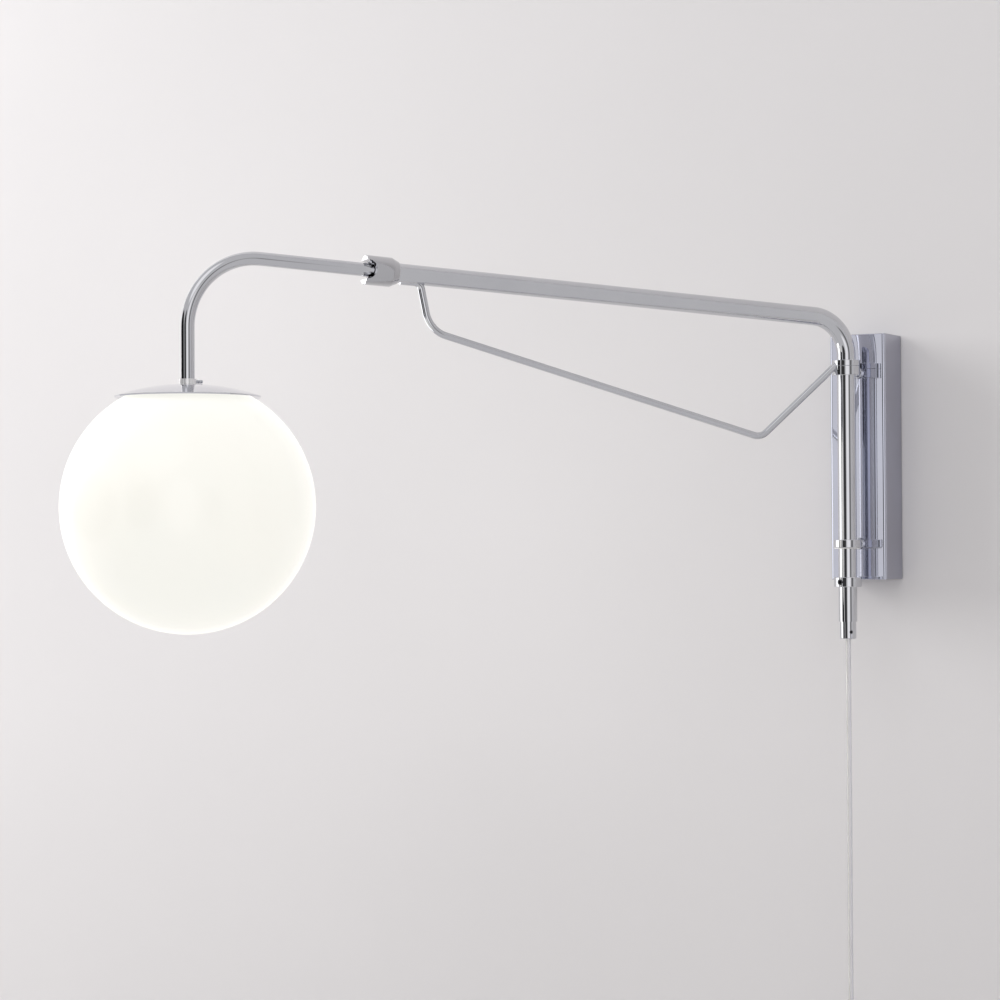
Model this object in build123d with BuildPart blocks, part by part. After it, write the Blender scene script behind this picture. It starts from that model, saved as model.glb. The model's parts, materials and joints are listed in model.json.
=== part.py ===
from build123d import *
from math import atan, ceil, cos, hypot, pi, radians, sin, sqrt, tan
import os

os.makedirs("parts", exist_ok=True)

# Swing arm wall lamp. Millimetres, +Z up, +Y into the wall, the wall itself at Y = 0.
# The origin is the middle of the wall box's open back, between the two wall screws.

# Wall box and the plate behind it
box_width = 52.0
box_depth = 38.0
box_height = 216.0
box_wall = 1.5
box_edge_radius = 2.5
box_inside_radius = 1.0
plate_clearance = 0.4
plate_thickness = 2.0
plate_corner_radius = 2.0
plate_window_width = 24.0
plate_window_height = 75.0
plate_window_radius = 5.0
plate_tab_depth = 16.0
plate_tab_width = 24.0
plate_tab_radius = 3.0
wall_screw_spacing = 150.0
wall_screw_hole = 5.2
wall_screw_boss_diameter = 15.6
wall_screw_boss_rise = 3.0
wall_screw_boss_taper = 20.0    # degrees
lock_screw = 4.0
lock_screw_length = 8.0
lock_screw_socket = 2.0
lock_screw_setback = 10.0

# Pivot: two rings stand off the box and carry the arm's upright
ring_standoff = 24.0
ring_diameter = 24.0
ring_height = 7.0
upper_ring_drop = 49.05     # the upper ring's foot, below the arm's height
lower_ring_rise = 28.1      # the lower ring's foot, above the box's bottom
ring_chamfer = 0.4
ring_neck_diameter = 5.8
ring_boss_diameter = 10.5
ring_boss_thickness = 3.0
stud_diameter = 6.0
stud_hole_clearance = 0.2
stud_length = 11.0
washer_diameter = 14.0
washer_thickness = 1.2
nut_across_flats = 10.0
nut_thickness = 5.0
bush_wall = 1.0
bush_flange_diameter = 22.6
bush_flange_thickness = 0.8
running_clearance = 0.05
thrust_clearance = 0.1
seat_clearance = 0.03

# Arm: an upright and a sloping reach, bent from one tube
arm_heading = 37.3          # degrees from straight out of the wall, towards -X
arm_rise = 3.57             # degrees above level
arm_tube_diameter = 16.0
arm_tube_wall = 1.2
arm_height = 119.45         # tube centre, where the reach would cross the pivot axis
arm_bend_radius = 34.0
arm_foot_drop = 36.2        # the upright's foot, below the box's bottom
arm_tube_end = 414.0        # along the reach, measured from the pivot axis

# Brace rod under the reach
brace_diameter = 6.0
brace_stub_drop = 6.3       # below the tube's centre, let into its underside
brace_stub_end = 413.0
brace_top_corner = 395.5    # where the front leg meets the stub
brace_front_level = 387.1
brace_front_drop = 20.15    # below the arm's height, as the two drops that follow
brace_rear_level = 84.3
brace_rear_drop = 104.05
brace_weld_drop = 35.55     # the rear leg's end, inside the upright
brace_top_radius = 7.0
brace_front_radius = 24.0
brace_rear_radius = 13.0
brace_collar_height = 5.2
brace_ring_clearance = 0.4

# Collars and end fittings on the upright
retaining_collar_drop = 6.0     # its foot, below the box's bottom
retaining_collar_height = 8.5
set_screw_diameter = 5.0
set_screw_socket = 2.5
set_screw_socket_depth = 2.8
set_screw_recess = 0.4
set_screw_heading = 11.5    # degrees from -Y towards -X
ferrule_diameter = 14.1
ferrule_length = 14.9
ferrule_spigot_length = 10.0
ferrule_bore = 5.6
ferrule_chamfer = 0.5
ferrule_slit_width = 1.0
ferrule_slit_depth = 1.0
ferrule_slit_length = 6.0
ferrule_screw_diameter = 3.0
ferrule_screw_recess = 0.3
ferrule_screw_slot = 0.6
ferrule_screw_slot_depth = 0.9
ferrule_screw_drop = 9.0        # below the upright's foot
ferrule_screw_heading = 45.0    # degrees from -Y towards +X

# Clamp on the arm's outer end
collet_spigot_length = 8.0
collet_neck_length = 3.0
collet_thread_diameter = 17.2
collet_thread_length = 14.0
collet_nose_length = 4.0
collet_nose_diameter = 13.6
collet_slit_width = 1.2
collet_slit_length = 10.0
clamp_nut_diameter = 24.0
clamp_nut_start = 416.3
clamp_nut_chamfer = 6.0
clamp_nut_edge = 0.6
clamp_nut_throat_diameter = 18.6
clamp_nut_length = 27.6
clamp_notch_width = 16.0
clamp_notch_depth = 7.3
clamp_cavity_diameter = 15.0
clamp_cavity_depth = 6.4

# Telescoping gooseneck
neck_tube_diameter = 11.0
neck_tube_wall = 1.2
neck_tube_start = 300.0     # inner end at rest, along the reach
neck_drop_reach = 589.6     # level distance from the pivot axis to the drop
neck_bend_radius = 56.0
guide_bush_length = 16.0
slide_in = 80.0
slide_out = 90.0

# Cap, globe and the hardware between them
globe_diameter = 200.0
globe_centre_z = -44.65
globe_glass = 3.0
cap_diameter = 115.0
cap_rise = 9.65
cap_sheet = 1.2
cap_rim_lean = 0.5
cap_apex_z = 51.85
cap_glass_gap = 0.3
cap_collar_diameter = 13.3
cap_collar_height = 4.0
cap_screw_diameter = 2.8
cap_screw_reach = 5.2
cap_screw_chamfer = 0.3
nipple_diameter = 8.0
nipple_bore = 5.2
nipple_above = 14.0
nipple_below = 17.0
nipple_nut_across_flats = 13.0
nipple_nut_thickness = 4.0
nipple_nut_seat = 0.3       # the nut's corners touch the dome's hollow side first
clip_hub_diameter = 26.0
clip_sheet = 0.8
clip_arm_width = 9.0
clip_arms = 3
clip_first_arm = 30.0       # degrees from -Y towards +X
clip_shoulder_inset = 5.0
clip_valley_drop = 8.0
clip_valley_step = 3.0
clip_bend_radius = 2.0
clip_tip_overlap = 7.0      # how far the arms reach under the glass

# Lamp holder and bulb
holder_diameter = 39.0
holder_head_diameter = 27.0
holder_height = 50.0
holder_wall = 2.0
holder_edge = 1.0
holder_shoulder = 5.0
holder_thread_shell = 26.9
holder_sleeve_wall = 0.6
holder_sleeve_setback = 1.0
holder_core_thickness = 9.0
bulb_base_diameter = 26.0
bulb_base_length = 24.0
bulb_base_cone = 4.0
bulb_diameter = 60.0
bulb_length = 82.0
bulb_glass_wall = 1.0
bulb_throat_step = 0.5
bulb_crown_arc = 120.0      # degrees of the round part, from its lowest point
contact_diameter = 9.0
contact_disc = 1.0
contact_height = 3.5
contact_taper = 15.0        # degrees
contact_gap = 0.3

# Cable inside the tubes
cable_gap = 1.15             # keeps the two halves apart at a quarter turn as well
cable_foot_gap = 0.3
cable_top_gap = 0.5
cable_stop = 5.0
cable_lay_over = 16.0

# Supply cord
cord_diameter = 4.5
corner_share = 0.45         # of a corner's shorter run, taken up by its bend
cord_top_drop = 1.8         # the cord's hidden end, below the upright's foot
cord_drop_z = -494.0
cord_shift_z = -518.0
hank_top_z = -548.0
hank_run = 80.0
hank_turns = 3
hank_pitch = 5.2
hank_layer_pitch = 5.2
hank_inner_radius = 13.5
hank_waist = 3.0
tie_height = 7.0
tie_thickness = 1.0
tie_clearance = 0.3
plug_lead_length = 36.0

# Plug
plug_width = 35.0
plug_thickness = 13.7
plug_body_length = 24.0
plug_shoulder_width = 18.0
plug_shoulder_thickness = 11.0
plug_shoulder_radius = 4.0
plug_face_radius = 5.0
plug_neck_length = 12.0
plug_neck_diameter = 7.5
plug_neck_root_diameter = 10.5
plug_pin_diameter = 4.0
plug_pin_length = 19.0
plug_pin_spacing = 18.0
plug_pin_sleeve = 10.0
plug_pin_sleeve_diameter = 3.8
plug_pin_chamfer = 0.8
plug_pin_seat = 6.0

# Sizes worked out from the ones above
box_bottom = -box_height / 2
lower_ring_z = box_bottom + lower_ring_rise
upper_ring_z = arm_height - upper_ring_drop
retaining_collar_z = box_bottom - retaining_collar_drop
arm_tube_bottom = box_bottom - arm_foot_drop
ferrule_screw_z = arm_tube_bottom - ferrule_screw_drop
cord_top_z = arm_tube_bottom - cord_top_drop
pivot_y = -(box_depth + ring_standoff)
arm_radius = arm_tube_diameter / 2
arm_bore_radius = arm_radius - arm_tube_wall
neck_radius = neck_tube_diameter / 2
neck_bore_radius = neck_radius - neck_tube_wall
slide_bore_radius = neck_radius + running_clearance
rise_sin = sin(radians(arm_rise))
rise_cos = cos(radians(arm_rise))
out_dir = Vector(-sin(radians(arm_heading)), -cos(radians(arm_heading)), 0)
side_dir = Vector(-cos(radians(arm_heading)), sin(radians(arm_heading)), 0)
reach_dir = out_dir * rise_cos + Vector(0, 0, rise_sin)
pivot = Vector(0, pivot_y, 0)
reach_axis = Axis((0, pivot_y, arm_height), reach_dir)
# arm_plane: x level along the arm, y up. reach_plane: x along the sloping tube, y square to it.
arm_plane = Plane(origin=pivot, x_dir=out_dir, z_dir=side_dir)
reach_plane = Plane(origin=(0, pivot_y, arm_height), x_dir=reach_dir, z_dir=side_dir)
# drop_plane: x level along the arm from the gooseneck's drop, y up.
drop_plane = Plane(origin=pivot + out_dir * neck_drop_reach, x_dir=out_dir, z_dir=side_dir)
drop_axis = Axis(drop_plane.origin, (0, 0, 1))
drop_corner_z = arm_height + neck_drop_reach * rise_sin / rise_cos


def on_reach(distance, square=0.0):
    """Level distance and height of a point along the reach, some way square to it."""
    return (distance * rise_cos - square * rise_sin, arm_height + distance * rise_sin + square * rise_cos)


def reach_section(distance):
    """Plane square to the reach, its y pointing up."""
    return Plane(origin=reach_plane.from_local_coords((distance, 0, 0)), x_dir=-side_dir, z_dir=reach_dir)


def spoke_plane(heading, z, about=pivot):
    """Upright plane whose normal points out from an upright axis, heading measured from -Y."""
    outward = Vector(sin(radians(heading)), -cos(radians(heading)), 0)
    return Plane(origin=(about.X, about.Y, z), x_dir=outward.cross(Vector(0, 0, 1)), z_dir=outward)


# Wall box: deep drawn cover, open at the back, drilled for the two ring studs and the lock screws
with BuildPart() as wall_box:
    with BuildSketch(Plane.XY.offset(-box_height / 2)) as box_outline:
        with Locations((0, -box_depth / 2)):
            Rectangle(box_width, box_depth)
        fillet(box_outline.vertices().group_by(Axis.Y)[0], box_edge_radius)
    extrude(amount=box_height)
    with BuildSketch(Plane.XY.offset(-box_height / 2 + box_wall)) as box_hollow:
        with Locations((0, -(box_depth - box_wall) / 2)):
            Rectangle(box_width - 2 * box_wall, box_depth - box_wall)
        fillet(box_hollow.vertices().group_by(Axis.Y)[0], box_inside_radius)
    extrude(amount=box_height - 2 * box_wall, mode=Mode.SUBTRACT)
    with BuildSketch(Plane(origin=(0, -box_depth, 0), x_dir=(1, 0, 0), z_dir=(0, -1, 0))):
        with Locations((0, upper_ring_z + ring_height / 2), (0, lower_ring_z + ring_height / 2)):
            Circle(stud_diameter / 2 + stud_hole_clearance)
    extrude(amount=-box_wall * 2, mode=Mode.SUBTRACT)
    with BuildSketch(Plane.XY.offset(box_height / 2)):
        with Locations((0, -lock_screw_setback)):
            Circle(lock_screw / 2 + seat_clearance)
    extrude(amount=-box_height, mode=Mode.SUBTRACT)
wall_box.part.label = "wall_box"
export_step(wall_box.part, "parts/wall_box.step")

# Wall plate: pressed steel strip with dished screw seats and a folded tab at each end
plate_width = box_width - 2 * box_wall - 2 * plate_clearance
plate_height = box_height - 2 * box_wall - 2 * plate_clearance
wall_screw_places = [(0, wall_screw_spacing / 2), (0, -wall_screw_spacing / 2)]
with BuildPart() as wall_plate:
    with BuildSketch(Plane(origin=(0, 0, 0), x_dir=(1, 0, 0), z_dir=(0, -1, 0))):
        RectangleRounded(plate_width, plate_height, plate_corner_radius)
    extrude(amount=plate_thickness)
    for end in (1, -1):
        with BuildSketch(Plane.XY.offset(end * plate_height / 2)) as tab:
            with Locations((0, -plate_tab_depth / 2)):
                Rectangle(plate_tab_width, plate_tab_depth)
            fillet(tab.vertices().group_by(Axis.Y)[0], plate_tab_radius)
            with Locations((0, -lock_screw_setback)):
                Circle(lock_screw / 2 + seat_clearance, mode=Mode.SUBTRACT)
        extrude(amount=-end * plate_thickness)
    with BuildSketch(Plane(origin=(0, -plate_thickness, 0), x_dir=(1, 0, 0), z_dir=(0, -1, 0))):
        with Locations(*wall_screw_places):
            Circle(wall_screw_boss_diameter / 2)
    extrude(amount=wall_screw_boss_rise - plate_thickness, taper=wall_screw_boss_taper)
    with BuildSketch(Plane(origin=(0, 0, 0), x_dir=(1, 0, 0), z_dir=(0, -1, 0))):
        with Locations(*wall_screw_places):
            Circle(wall_screw_hole / 2)
        RectangleRounded(plate_window_width, plate_window_height, plate_window_radius)
    extrude(amount=wall_screw_boss_rise, mode=Mode.SUBTRACT)
wall_plate.part.label = "wall_plate"
export_step(wall_plate.part, "parts/wall_plate.step")

# Grub screws that lock the box to the plate's tabs, flush with its top and bottom
with BuildPart() as box_lock_screws:
    for end in (1, -1):
        with BuildSketch(Plane.XY.offset(end * box_height / 2)):
            with Locations((0, -lock_screw_setback)):
                Circle(lock_screw / 2)
        extrude(amount=-end * lock_screw_length)
        with BuildSketch(Plane.XY.offset(end * box_height / 2)):
            with Locations((0, -lock_screw_setback)):
                RegularPolygon(lock_screw_socket / 2, 6, major_radius=False)
        extrude(amount=-end * lock_screw_socket, mode=Mode.SUBTRACT)
box_lock_screws.part.label = "box_lock_screws"
export_step(box_lock_screws.part, "parts/box_lock_screws.step")

# Stand-off rings with their studs, and the flanged bushes that line them
bush_radius = arm_radius + running_clearance + bush_wall
for place, ring_z, flange_side in (("upper", upper_ring_z, 1), ("lower", lower_ring_z, -1)):
    ring_middle = ring_z + ring_height / 2
    boss_plane = Plane(origin=(0, pivot_y, ring_middle), x_dir=(1, 0, 0), z_dir=(0, 1, 0))
    with BuildPart() as bracket:
        with BuildSketch(Plane.XY.offset(ring_z)):
            with Locations((0, pivot_y)):
                Circle(ring_diameter / 2)
        extrude(amount=ring_height)
        chamfer(bracket.edges().filter_by(GeomType.CIRCLE), ring_chamfer)
        with BuildSketch(boss_plane):
            Circle(ring_neck_diameter / 2)
        extrude(amount=ring_standoff - ring_boss_thickness)
        with BuildSketch(boss_plane.offset(ring_standoff - ring_boss_thickness)):
            Circle(ring_boss_diameter / 2)
        extrude(amount=ring_boss_thickness)
        with BuildSketch(boss_plane.offset(ring_standoff)):
            Circle(stud_diameter / 2)
        extrude(amount=stud_length)
        with BuildSketch(Plane.XY.offset(ring_z)):
            with Locations((0, pivot_y)):
                Circle(bush_radius + seat_clearance)
        extrude(amount=ring_height, mode=Mode.SUBTRACT)
    bracket.part.label = place + "_bracket"
    export_step(bracket.part, "parts/" + place + "_bracket.step")

    flange_z = ring_z + ring_height if flange_side > 0 else ring_z
    with BuildPart() as bush:
        with BuildSketch(Plane.XY.offset(ring_z)):
            with Locations((0, pivot_y)):
                Circle(bush_radius)
        extrude(amount=ring_height)
        with BuildSketch(Plane.XY.offset(flange_z)):
            with Locations((0, pivot_y)):
                Circle(bush_flange_diameter / 2)
        extrude(amount=flange_side * bush_flange_thickness)
        with BuildSketch(Plane.XY.offset(ring_z - ring_height)):
            with Locations((0, pivot_y)):
                Circle(arm_radius + running_clearance)
        extrude(amount=3 * ring_height, mode=Mode.SUBTRACT)
    bush.part.label = place + "_bush"
    export_step(bush.part, "parts/" + place + "_bush.step")

# Washers and nuts on the studs, inside the box
front_inside = Plane(origin=(0, -box_depth + box_wall, 0), x_dir=(1, 0, 0), z_dir=(0, 1, 0))
stud_places = [(0, -(upper_ring_z + ring_height / 2)), (0, -(lower_ring_z + ring_height / 2))]
with BuildPart() as bracket_washers:
    with BuildSketch(front_inside):
        with Locations(*stud_places):
            Circle(washer_diameter / 2)
            Circle(stud_diameter / 2 + stud_hole_clearance, mode=Mode.SUBTRACT)
    extrude(amount=washer_thickness)
bracket_washers.part.label = "bracket_washers"
export_step(bracket_washers.part, "parts/bracket_washers.step")

with BuildPart() as bracket_nuts:
    with BuildSketch(front_inside.offset(washer_thickness)):
        with Locations(*stud_places):
            RegularPolygon(nut_across_flats / 2, 6, major_radius=False)
            Circle(stud_diameter / 2 + seat_clearance, mode=Mode.SUBTRACT)
    extrude(amount=nut_thickness)
bracket_nuts.part.label = "bracket_nuts"
export_step(bracket_nuts.part, "parts/bracket_nuts.step")

# Arm tube: upright, bend and reach in one
with BuildPart() as outer_arm_tube:
    with BuildLine(arm_plane) as arm_path:
        FilletPolyline(
            (0, arm_tube_bottom), (0, arm_height), on_reach(arm_tube_end), radius=arm_bend_radius
        )
    with BuildSketch(Plane.XY.offset(arm_tube_bottom)):
        with Locations((0, pivot_y)):
            Circle(arm_radius)
            Circle(arm_bore_radius, mode=Mode.SUBTRACT)
    sweep(path=arm_path.line)
outer_arm_tube.part.label = "outer_arm_tube"
export_step(outer_arm_tube.part, "parts/outer_arm_tube.step")

# Brace rod: its front end is saddled under the reach, its rear end lies in a notch of the collar
collar_bottom = upper_ring_z + ring_height + bush_flange_thickness + thrust_clearance
with BuildPart() as brace_rod:
    with BuildLine(arm_plane) as brace_path:
        FilletPolyline(
            on_reach(brace_stub_end, -brace_stub_drop),
            on_reach(brace_top_corner, -brace_stub_drop),
            (brace_front_level, arm_height - brace_front_drop),
            (brace_rear_level, arm_height - brace_rear_drop),
            (arm_radius / 2, arm_height - brace_weld_drop),
            radius=[brace_top_radius, brace_front_radius, brace_rear_radius],
        )
    with BuildSketch(Plane(origin=brace_path.line @ 0, z_dir=brace_path.line % 0)):
        Circle(brace_diameter / 2)
    sweep(path=brace_path.line)
    with BuildSketch(reach_section(arm_tube_end + arm_radius)):
        Circle(arm_radius)
    extrude(amount=-arm_tube_end / 2, mode=Mode.SUBTRACT)
    with BuildSketch(Plane.XY.offset(collar_bottom)):
        with Locations((0, pivot_y)):
            Circle(ring_diameter / 2 + brace_ring_clearance)
    extrude(amount=-3 * ring_height, mode=Mode.SUBTRACT)
    with BuildSketch(Plane.XY.offset(collar_bottom)):
        with Locations((0, pivot_y)):
            Circle(arm_radius)
    extrude(amount=4 * brace_collar_height, mode=Mode.SUBTRACT)
brace_rod.part.label = "brace_rod"
export_step(brace_rod.part, "parts/brace_rod.step")

# Collars on the upright: one notched for the brace, over the upper bush, and one near the foot
with BuildPart() as brace_collar:
    with BuildSketch(Plane.XY.offset(collar_bottom)):
        with Locations((0, pivot_y)):
            Circle(ring_diameter / 2)
            Circle(arm_radius + seat_clearance, mode=Mode.SUBTRACT)
    extrude(amount=brace_collar_height)
    chamfer(brace_collar.edges().filter_by(GeomType.CIRCLE).sort_by(SortBy.RADIUS)[-2:], ring_chamfer)
    add(brace_rod.part, mode=Mode.SUBTRACT)
brace_collar.part.label = "brace_collar"
export_step(brace_collar.part, "parts/brace_collar.step")

screw_plane = spoke_plane(-set_screw_heading, retaining_collar_z + retaining_collar_height / 2)
with BuildPart() as retaining_collar:
    with BuildSketch(Plane.XY.offset(retaining_collar_z)):
        with Locations((0, pivot_y)):
            Circle(ring_diameter / 2)
            Circle(arm_radius + seat_clearance, mode=Mode.SUBTRACT)
    extrude(amount=retaining_collar_height)
    chamfer(retaining_collar.edges().filter_by(GeomType.CIRCLE).sort_by(SortBy.RADIUS)[-2:], ring_chamfer)
    with BuildSketch(screw_plane):
        Circle(set_screw_diameter / 2)
    extrude(amount=ring_diameter, mode=Mode.SUBTRACT)
retaining_collar.part.label = "retaining_collar"
export_step(retaining_collar.part, "parts/retaining_collar.step")

with BuildPart() as retaining_set_screw:
    with BuildSketch(screw_plane.offset(arm_radius + seat_clearance)):
        Circle(set_screw_diameter / 2 - seat_clearance)
    extrude(amount=ring_diameter / 2 - arm_radius - set_screw_recess)
    with BuildSketch(screw_plane.offset(ring_diameter / 2)):
        RegularPolygon(set_screw_socket / 2, 6, major_radius=False)
    extrude(amount=-set_screw_socket_depth, mode=Mode.SUBTRACT)
retaining_set_screw.part.label = "retaining_set_screw"
export_step(retaining_set_screw.part, "parts/retaining_set_screw.step")

# End ferrule: turned plug in the tube's foot, bored for the cord, with a slit and a grip screw
ferrule_bottom = arm_tube_bottom - ferrule_length
grip_plane = spoke_plane(ferrule_screw_heading, ferrule_screw_z)
with BuildPart() as end_ferrule:
    with BuildSketch(Plane.XY.offset(ferrule_bottom)):
        with Locations((0, pivot_y)):
            Circle(ferrule_diameter / 2)
    extrude(amount=ferrule_length)
    chamfer(end_ferrule.edges().group_by(Axis.Z)[0], ferrule_chamfer)
    with BuildSketch(Plane.XY.offset(arm_tube_bottom)):
        with Locations((0, pivot_y)):
            Circle(arm_bore_radius - seat_clearance)
    extrude(amount=ferrule_spigot_length)
    with BuildSketch(Plane.XY.offset(ferrule_bottom)):
        with Locations((0, pivot_y)):
            Circle(ferrule_bore / 2)
    extrude(amount=ferrule_length + ferrule_spigot_length, mode=Mode.SUBTRACT)
    with BuildSketch(grip_plane):
        Circle(ferrule_screw_diameter / 2)
    extrude(amount=ferrule_diameter, mode=Mode.SUBTRACT)
    with BuildSketch(grip_plane.offset(ferrule_diameter / 2 - ferrule_slit_depth)):
        with Locations((0, ferrule_screw_diameter / 4 + ferrule_slit_length / 2)):
            Rectangle(ferrule_slit_width, ferrule_slit_length)
    extrude(amount=ferrule_diameter, mode=Mode.SUBTRACT)
end_ferrule.part.label = "end_ferrule"
export_step(end_ferrule.part, "parts/end_ferrule.step")

with BuildPart() as ferrule_screw:
    with BuildSketch(grip_plane.offset(ferrule_bore / 2 + seat_clearance)):
        Circle(ferrule_screw_diameter / 2 - seat_clearance)
    extrude(amount=(ferrule_diameter - ferrule_bore) / 2 - ferrule_screw_recess)
    with BuildSketch(grip_plane.offset(ferrule_diameter / 2)):
        Rectangle(ferrule_screw_diameter * 2, ferrule_screw_slot)
    extrude(amount=-ferrule_screw_slot_depth - ferrule_screw_recess, mode=Mode.SUBTRACT)
ferrule_screw.part.label = "ferrule_screw"
export_step(ferrule_screw.part, "parts/ferrule_screw.step")

# Collet: spigot in the tube's end, flush neck, thread and a slit nose that grips the inner tube
collet_rear = arm_tube_end - collet_spigot_length
neck_end = arm_tube_end + collet_neck_length
thread_end = neck_end + collet_thread_length
nose_end = thread_end + collet_nose_length
with BuildPart() as collet_body:
    with BuildSketch(reach_plane):
        with BuildLine():
            Polyline(
                (collet_rear, slide_bore_radius),
                (collet_rear, arm_bore_radius - seat_clearance),
                (arm_tube_end, arm_bore_radius - seat_clearance),
                (arm_tube_end, arm_radius),
                (neck_end, arm_radius),
                (neck_end, collet_thread_diameter / 2),
                (thread_end, collet_thread_diameter / 2),
                (nose_end, collet_nose_diameter / 2),
                (nose_end, slide_bore_radius),
                close=True,
            )
        make_face()
    revolve(axis=reach_axis)
    with BuildSketch(reach_section(nose_end)):
        Rectangle(collet_slit_width, 2 * collet_thread_diameter)
        Rectangle(2 * collet_thread_diameter, collet_slit_width)
    extrude(amount=-collet_slit_length, mode=Mode.SUBTRACT)
collet_body.part.label = "collet_body"
export_step(collet_body.part, "parts/collet_body.step")

# Clamp nut: turned sleeve over the collet, notched half round at its front for turning it
nut_end = clamp_nut_start + clamp_nut_length
cavity_floor = nut_end - clamp_cavity_depth
nut_bore = collet_thread_diameter / 2 + running_clearance
nut_cone_start = thread_end + thrust_clearance
with BuildPart() as clamp_nut:
    with BuildSketch(reach_plane):
        with BuildLine():
            Polyline(
                (clamp_nut_start, nut_bore),
                (clamp_nut_start, clamp_nut_throat_diameter / 2),
                (clamp_nut_start + clamp_nut_chamfer, clamp_nut_diameter / 2),
                (nut_end - clamp_nut_edge, clamp_nut_diameter / 2),
                (nut_end, clamp_nut_diameter / 2 - clamp_nut_edge),
                (nut_end, clamp_cavity_diameter / 2),
                (cavity_floor, clamp_cavity_diameter / 2),
                (cavity_floor, collet_nose_diameter / 2 + running_clearance),
                (nose_end, collet_nose_diameter / 2 + running_clearance),
                (nut_cone_start, nut_bore),
                close=True,
            )
        make_face()
    revolve(axis=reach_axis)
    with BuildSketch(reach_plane):
        with Locations((nut_end - clamp_notch_depth + clamp_notch_width / 2, 0)):
            Circle(clamp_notch_width / 2)
    extrude(amount=clamp_nut_diameter, both=True, mode=Mode.SUBTRACT)
clamp_nut.part.label = "clamp_nut"
export_step(clamp_nut.part, "parts/clamp_nut.step")

# Guide bush on the inner tube's rear end, which also stops it from being drawn right out
with BuildPart() as rear_guide_bush:
    with BuildSketch(reach_section(neck_tube_start)):
        Circle(arm_bore_radius - running_clearance)
        Circle(slide_bore_radius, mode=Mode.SUBTRACT)
    extrude(amount=guide_bush_length)
rear_guide_bush.part.label = "rear_guide_bush"
export_step(rear_guide_bush.part, "parts/rear_guide_bush.step")

# Gooseneck: straight inner tube, wide bend and drop to the cap
with BuildPart() as gooseneck_tube:
    with BuildLine(arm_plane) as neck_path:
        FilletPolyline(
            on_reach(neck_tube_start),
            (neck_drop_reach, drop_corner_z),
            (neck_drop_reach, cap_apex_z),
            radius=neck_bend_radius,
        )
    with BuildSketch(reach_section(neck_tube_start)):
        Circle(neck_radius)
        Circle(neck_bore_radius, mode=Mode.SUBTRACT)
    sweep(path=neck_path.line)
gooseneck_tube.part.label = "gooseneck_tube"
export_step(gooseneck_tube.part, "parts/gooseneck_tube.step")

# Small collar at the foot of the drop, with its locking screw pointing back along the arm
collar_middle = cap_apex_z + cap_collar_height / 2
cap_screw_plane = Plane(
    origin=drop_plane.origin + Vector(0, 0, collar_middle), x_dir=side_dir, z_dir=-out_dir
)
with BuildPart() as cap_collar:
    with BuildSketch(Plane.XY.offset(cap_apex_z)):
        with Locations((drop_plane.origin.X, drop_plane.origin.Y)):
            Circle(cap_collar_diameter / 2)
            Circle(neck_radius + seat_clearance, mode=Mode.SUBTRACT)
    extrude(amount=cap_collar_height)
    with BuildSketch(cap_screw_plane):
        Circle(cap_screw_diameter / 2)
    extrude(amount=cap_collar_diameter, mode=Mode.SUBTRACT)
cap_collar.part.label = "cap_collar"
export_step(cap_collar.part, "parts/cap_collar.step")

with BuildPart() as cap_screw:
    with BuildSketch(cap_screw_plane.offset(neck_radius + seat_clearance)):
        Circle(cap_screw_diameter / 2 - seat_clearance)
    extrude(amount=(cap_collar_diameter - neck_tube_diameter) / 2 + cap_screw_reach)
    chamfer(cap_screw.edges().filter_by(GeomType.CIRCLE), cap_screw_chamfer)
cap_screw.part.label = "cap_screw"
export_step(cap_screw.part, "parts/cap_screw.step")

# Cap: shallow spun dome with a hole for the nipple
cap_radius = cap_diameter / 2
dome_radius = (cap_radius**2 + cap_rise**2) / (2 * cap_rise)
dome_centre_z = cap_apex_z - dome_radius
cap_rim_z = cap_apex_z - cap_rise
with BuildPart() as shade_cap:
    with BuildSketch(drop_plane):
        with BuildLine():
            outside = RadiusArc((0, cap_apex_z), (cap_radius, cap_rim_z), dome_radius)
            edge = Line(outside @ 1, (cap_radius - cap_rim_lean, cap_rim_z - cap_sheet))
            inside = RadiusArc(edge @ 1, (0, cap_apex_z - cap_sheet), -(dome_radius - cap_sheet))
            Line(inside @ 1, (0, cap_apex_z))
        make_face()
    revolve(axis=drop_axis)
    with BuildSketch(Plane.XY.offset(cap_apex_z - 3 * cap_sheet)):
        with Locations((drop_plane.origin.X, drop_plane.origin.Y)):
            Circle(nipple_diameter / 2 + seat_clearance)
    extrude(amount=6 * cap_sheet, mode=Mode.SUBTRACT)
shade_cap.part.label = "shade_cap"
export_step(shade_cap.part, "parts/shade_cap.step")

# Globe: blown opal glass, ground flat round its opening just under the dome
globe_radius = globe_diameter / 2
seat_radius = dome_radius - cap_sheet - cap_glass_gap
globe_rim_z = (
    (seat_radius**2 - dome_centre_z**2) - (globe_radius**2 - globe_centre_z**2)
) / (2 * (globe_centre_z - dome_centre_z))
inner_globe_radius = globe_radius - globe_glass
rim_rise = globe_rim_z - globe_centre_z
rim_outer_radius = sqrt(globe_radius**2 - rim_rise**2)
rim_inner_radius = sqrt(inner_globe_radius**2 - rim_rise**2)
with BuildPart() as opal_globe:
    with BuildSketch(drop_plane):
        with BuildLine():
            outer_wall = ThreePointArc(
                (rim_outer_radius, globe_rim_z),
                (globe_radius, globe_centre_z),
                (0, globe_centre_z - globe_radius),
            )
            wall_foot = Line(outer_wall @ 1, (0, globe_centre_z - inner_globe_radius))
            inner_wall = ThreePointArc(
                wall_foot @ 1,
                (inner_globe_radius, globe_centre_z),
                (rim_inner_radius, globe_rim_z),
            )
            Line(inner_wall @ 1, outer_wall @ 0)
        make_face()
    revolve(axis=drop_axis)
opal_globe.part.label = "opal_globe"
export_step(opal_globe.part, "parts/opal_globe.step")

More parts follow.
